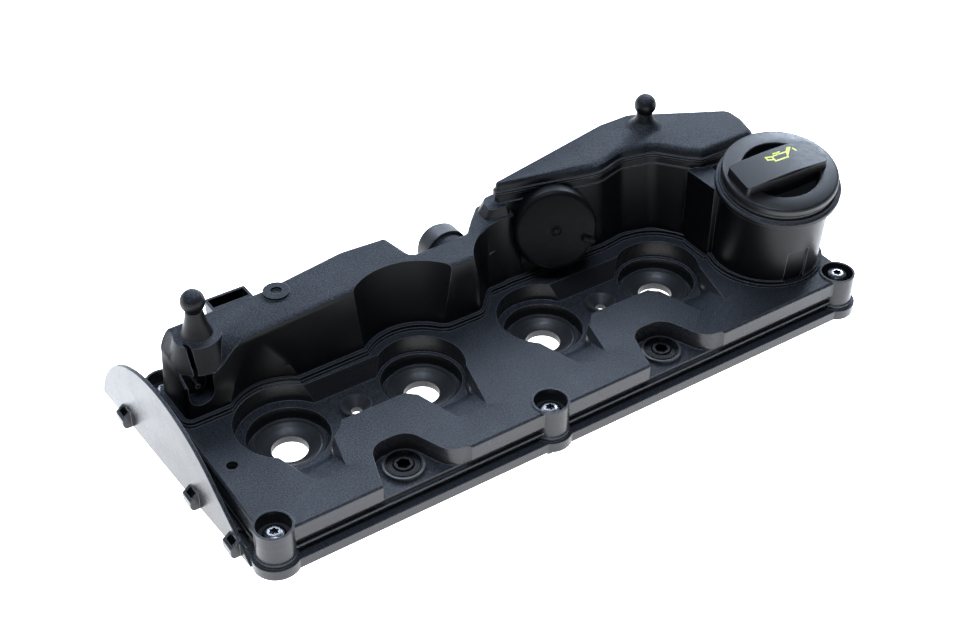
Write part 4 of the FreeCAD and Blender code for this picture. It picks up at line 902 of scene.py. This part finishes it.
@dataclass
class OilMark:
    """Printed oil-can symbol: strokes laid on the handle's arched top."""

    tilt: Tilt
    centre: tuple[float, float] = (0.0010, 0.0046)
    stroke: float = 0.00105
    step: float = 0.0004
    above: float = 0.00004
    start_z: float = 0.12

    def strokes(self) -> list[list[tuple[float, float]]]:
        """List the symbol's lines.

        Returns:
            Lines of points in millimetres round the symbol's centre.
        """
        can = [(-5.2, -3.4), (3.6, -3.4), (5.6, 0.9), (-5.2, 0.9), (-5.2, -3.4)]
        spout = [(4.4, -1.9), (9.4, 3.3), (8.0, 3.7), (5.4, 0.9)]
        grip = [(-5.2, 0.7), (-9.0, 1.9), (-9.0, -0.6), (-5.2, -1.9)]
        knob = [(-0.9, 0.9), (-0.9, 2.5)]
        lid = [(-3.0, 2.5), (1.2, 2.5)]
        drop = [(10.9, 1.9), (11.5, -0.3)]
        return [can, spout, grip, knob, lid, drop]

    def build(self, carrier: bpy.types.Object) -> bpy.types.Object:
        """Lay the strokes on the carrier's surface.

        Args:
            carrier: The cap's skin.

        Returns:
            The printed mark.
        """
        mesh = carrier.data
        tree = BVHTree.FromPolygons([v.co for v in mesh.vertices], [tuple(f.vertices) for f in mesh.polygons])
        frame_matrix = self.tilt.matrix()
        down = -(frame_matrix.to_3x3() @ Vector((0.0, 0.0, 1.0)))
        work = bmesh.new()
        for line in self.strokes():
            for (x0, y0), (x1, y1) in zip(line, line[1:]):
                start = Vector((x0, y0)) * MILLIMETRE
                end = Vector((x1, y1)) * MILLIMETRE
                self.bar(work, tree, frame_matrix, down, start, end)
        print_mesh = bpy.data.meshes.new("oil_mark")
        work.to_mesh(print_mesh)
        work.free()
        mark = bpy.data.objects.new("oil_mark", print_mesh)
        bpy.context.scene.collection.objects.link(mark)
        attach(mark, CAP_BODY)
        return mark

    def bar(
        self, work: bmesh.types.BMesh, tree: BVHTree, place: Matrix, down: Vector, start: Vector, end: Vector
    ) -> None:
        """Lay one straight stroke.

        Args:
            work: The mesh being made.
            tree: The carrier's surface.
            place: Matrix of the tilted frame.
            down: Direction towards the surface.
            start: First end in the symbol's plane.
            end: Other end.
        """
        along = (end - start).normalized()
        side = Vector((-along.y, along.x)) * self.stroke / 2
        start = start - along * self.stroke / 2
        end = end + along * self.stroke / 2
        count = max(1, math.ceil((end - start).length / self.step))
        rows = []
        for i in range(count + 1):
            spot = start.lerp(end, i / count)
            row = []
            for share in (-1.0, 1.0):
                flat = spot + side * share
                above = place @ Vector((flat.x + self.centre[0], flat.y + self.centre[1], self.start_z))
                hit, _, _, _ = tree.ray_cast(above, down)
                row.append(work.verts.new(hit - down * self.above))
            rows.append(row)
        for (a, b), (c, d) in zip(rows, rows[1:]):
            work.faces.new((a, c, d, b))


@dataclass(frozen=True)
class ArchedTop:
    """Even curve of the cap handle's top, for its shading."""

    tilt: Tilt
    middle: float = -0.0028
    radius: float = 0.27275
    depth: float = 0.0030
    level: float = 0.985

    def shade(self, piece: bpy.types.Object) -> None:
        """Set the normals of the handle's top faces to the arch's own.

        Args:
            piece: The cap's skin.
        """
        mesh = piece.data
        place = self.tilt.matrix()
        back = place.inverted()
        turn = place.to_3x3()
        spots = [back @ vertex.co for vertex in mesh.vertices]
        crown = max(spot.z for spot in spots)
        normals = [Vector(corner.vector) for corner in mesh.corner_normals]
        for face in mesh.polygons:
            lowest = min(spots[index].z for index in face.vertices)
            if lowest < crown - self.depth or (turn.inverted() @ face.normal).z < self.level:
                continue
            for corner in face.loop_indices:
                across = (spots[mesh.loops[corner].vertex_index].x - self.middle) / self.radius
                normals[corner] = turn @ Vector((across, 0.0, math.sqrt(1.0 - across**2)))
        mesh.normals_split_custom_set(normals)


@dataclass
class FillerCap(SubAssembly):
    """The bayonet cap with its seal and printed oil mark."""

    def build(self) -> None:
        """Dress the cap and print the mark."""
        self.skin(["oil_cap"], CAP_PLASTIC, Slot.CAP, CAP_BODY)
        ArchedTop(NECK_TILT).shade(self.made[0])
        mark = OilMark(NECK_TILT).build(self.made[0])
        INK.dress([mark])
        self.made.append(mark)
        self.skin(["oil_cap_seal"], RUBBER, Slot.RUBBER, CAP_BODY)


@dataclass(frozen=True)
class Softbox:
    """One soft rectangular light: where it hangs and its size in metres, and its power in watts."""

    name: str
    place: tuple[float, float, float]
    width: float
    height: float
    power: float


@dataclass
class Studio:
    """Pale floor, soft lights and the photograph's camera."""

    azimuth_deg: float = -33.57
    elevation_deg: float = 38.49
    roll_deg: float = 0.12
    distance: float = 0.96507
    target: tuple[float, float, float] = (0.15545, 0.03927, 0.0)
    lens_mm: float = 57.565
    sensor_mm: float = 36.0
    floor_half: float = 6.0
    floor_glow: float = 2.6
    room_glow: float = 0.05
    floor_gap: float = 0.0002
    daylight: tuple[float, float, float] = (0.76, 0.86, 1.0)
    gamma: float = 0.88
    softboxes: tuple[Softbox, ...] = (
        Softbox("overhead_softbox", (1.75, 2.0, 2.1), 4.2, 3.0, 64.0),
        Softbox("right_softbox", (2.75, 1.7, 2.0), 1.0, 1.5, 95.0),
        Softbox("left_softbox", (0.4, 1.3, 1.5), 1.1, 0.9, 20.0),
        Softbox("left_strip", (-1.1, 0.5, 1.1), 0.4, 1.2, 4.0),
        Softbox("top_softbox", (-0.1, -0.35, 1.7), 0.7, 0.7, 20.0),
    )

    def build(self) -> None:
        """Make the floor, the lights and the camera."""
        self.floor()
        self.lights()
        self.camera()

    def floor(self) -> None:
        """Lay a plain pale floor under the part."""
        low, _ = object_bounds()
        mesh = bpy.data.meshes.new("floor")
        half = self.floor_half
        z = low.z - self.floor_gap
        mesh.from_pydata(
            [(-half, -half, z), (half, -half, z), (half, half, z), (-half, half, z)], [], [(0, 1, 2, 3)]
        )
        floor = bpy.data.objects.new("floor", mesh)
        bpy.context.scene.collection.objects.link(floor)
        graph = Graph("pale_floor")
        shade = graph.spread(graph.noise(3.0), NOISE_LOW, NOISE_HIGH, 0.0, 1.0)
        pale = graph.mix(shade, (0.86, 0.86, 0.86), (0.9, 0.9, 0.9))
        graph.link(pale, graph.shader.inputs["Base Color"])
        graph.link(pale, graph.shader.inputs["Emission Color"])
        graph.shader.inputs["Emission Strength"].default_value = self.floor_glow
        graph.shader.inputs["Roughness"].default_value = 0.9
        graph.shader.inputs["Specular IOR Level"].default_value = 0.1
        mesh.materials.append(graph.material)
        floor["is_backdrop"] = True

    def lamp(self, box: Softbox) -> None:
        """Hang one soft light that faces the part.

        Args:
            box: The light's place, size and power.
        """
        data = bpy.data.lights.new(box.name, "AREA")
        data.shape = "RECTANGLE"
        data.size = box.width
        data.size_y = box.height
        data.energy = box.power
        data.color = self.daylight
        lamp = bpy.data.objects.new(box.name, data)
        lamp.location = box.place
        aim = Vector(self.target) - Vector(box.place)
        lamp.rotation_mode = "QUATERNION"
        lamp.rotation_quaternion = aim.to_track_quat("-Z", "Y")
        bpy.context.scene.collection.objects.link(lamp)

    def lights(self) -> None:
        """Hang the soft lights and set the room's glow."""
        for box in self.softboxes:
            self.lamp(box)
        world = bpy.data.worlds.new("room")
        world.use_nodes = True
        world.node_tree.nodes["Background"].inputs["Color"].default_value = (1.0, 1.0, 1.0, 1.0)
        world.node_tree.nodes["Background"].inputs["Strength"].default_value = self.room_glow
        bpy.context.scene.world = world
        bpy.context.scene.view_settings.view_transform = "Standard"
        bpy.context.scene.view_settings.gamma = self.gamma

    def camera(self) -> None:
        """Set the camera at the photograph's place and angle."""
        azimuth = math.radians(self.azimuth_deg)
        level = math.cos(math.radians(self.elevation_deg))
        back = Vector(
            (
                math.sin(azimuth) * level,
                -math.cos(azimuth) * level,
                math.sin(math.radians(self.elevation_deg)),
            )
        )
        data = bpy.data.cameras.new("photo_camera")
        data.lens = self.lens_mm
        data.sensor_width = self.sensor_mm
        data.clip_start = 0.01
        data.clip_end = 50.0
        camera = bpy.data.objects.new("photo_camera", data)
        turn = (-back).to_track_quat("-Z", "Y").to_matrix().to_4x4()
        roll = Matrix.Rotation(math.radians(self.roll_deg), 4, "Z")
        camera.matrix_world = Matrix.Translation(Vector(self.target) + back * self.distance) @ turn @ roll
        bpy.context.scene.collection.objects.link(camera)
        bpy.context.scene.camera = camera


def main() -> None:
    """Build every sub-assembly in order, then the studio."""
    logging.basicConfig(level=logging.INFO, format="%(name)s %(message)s")
    groups = [Mouldings(), PressureValve(), Seals(), Fasteners(), InnerPlastics(), FillerCap()]
    for group in groups:
        group.build()
        group.report()
    Studio().build()


if __name__ == "__main__":
    main()
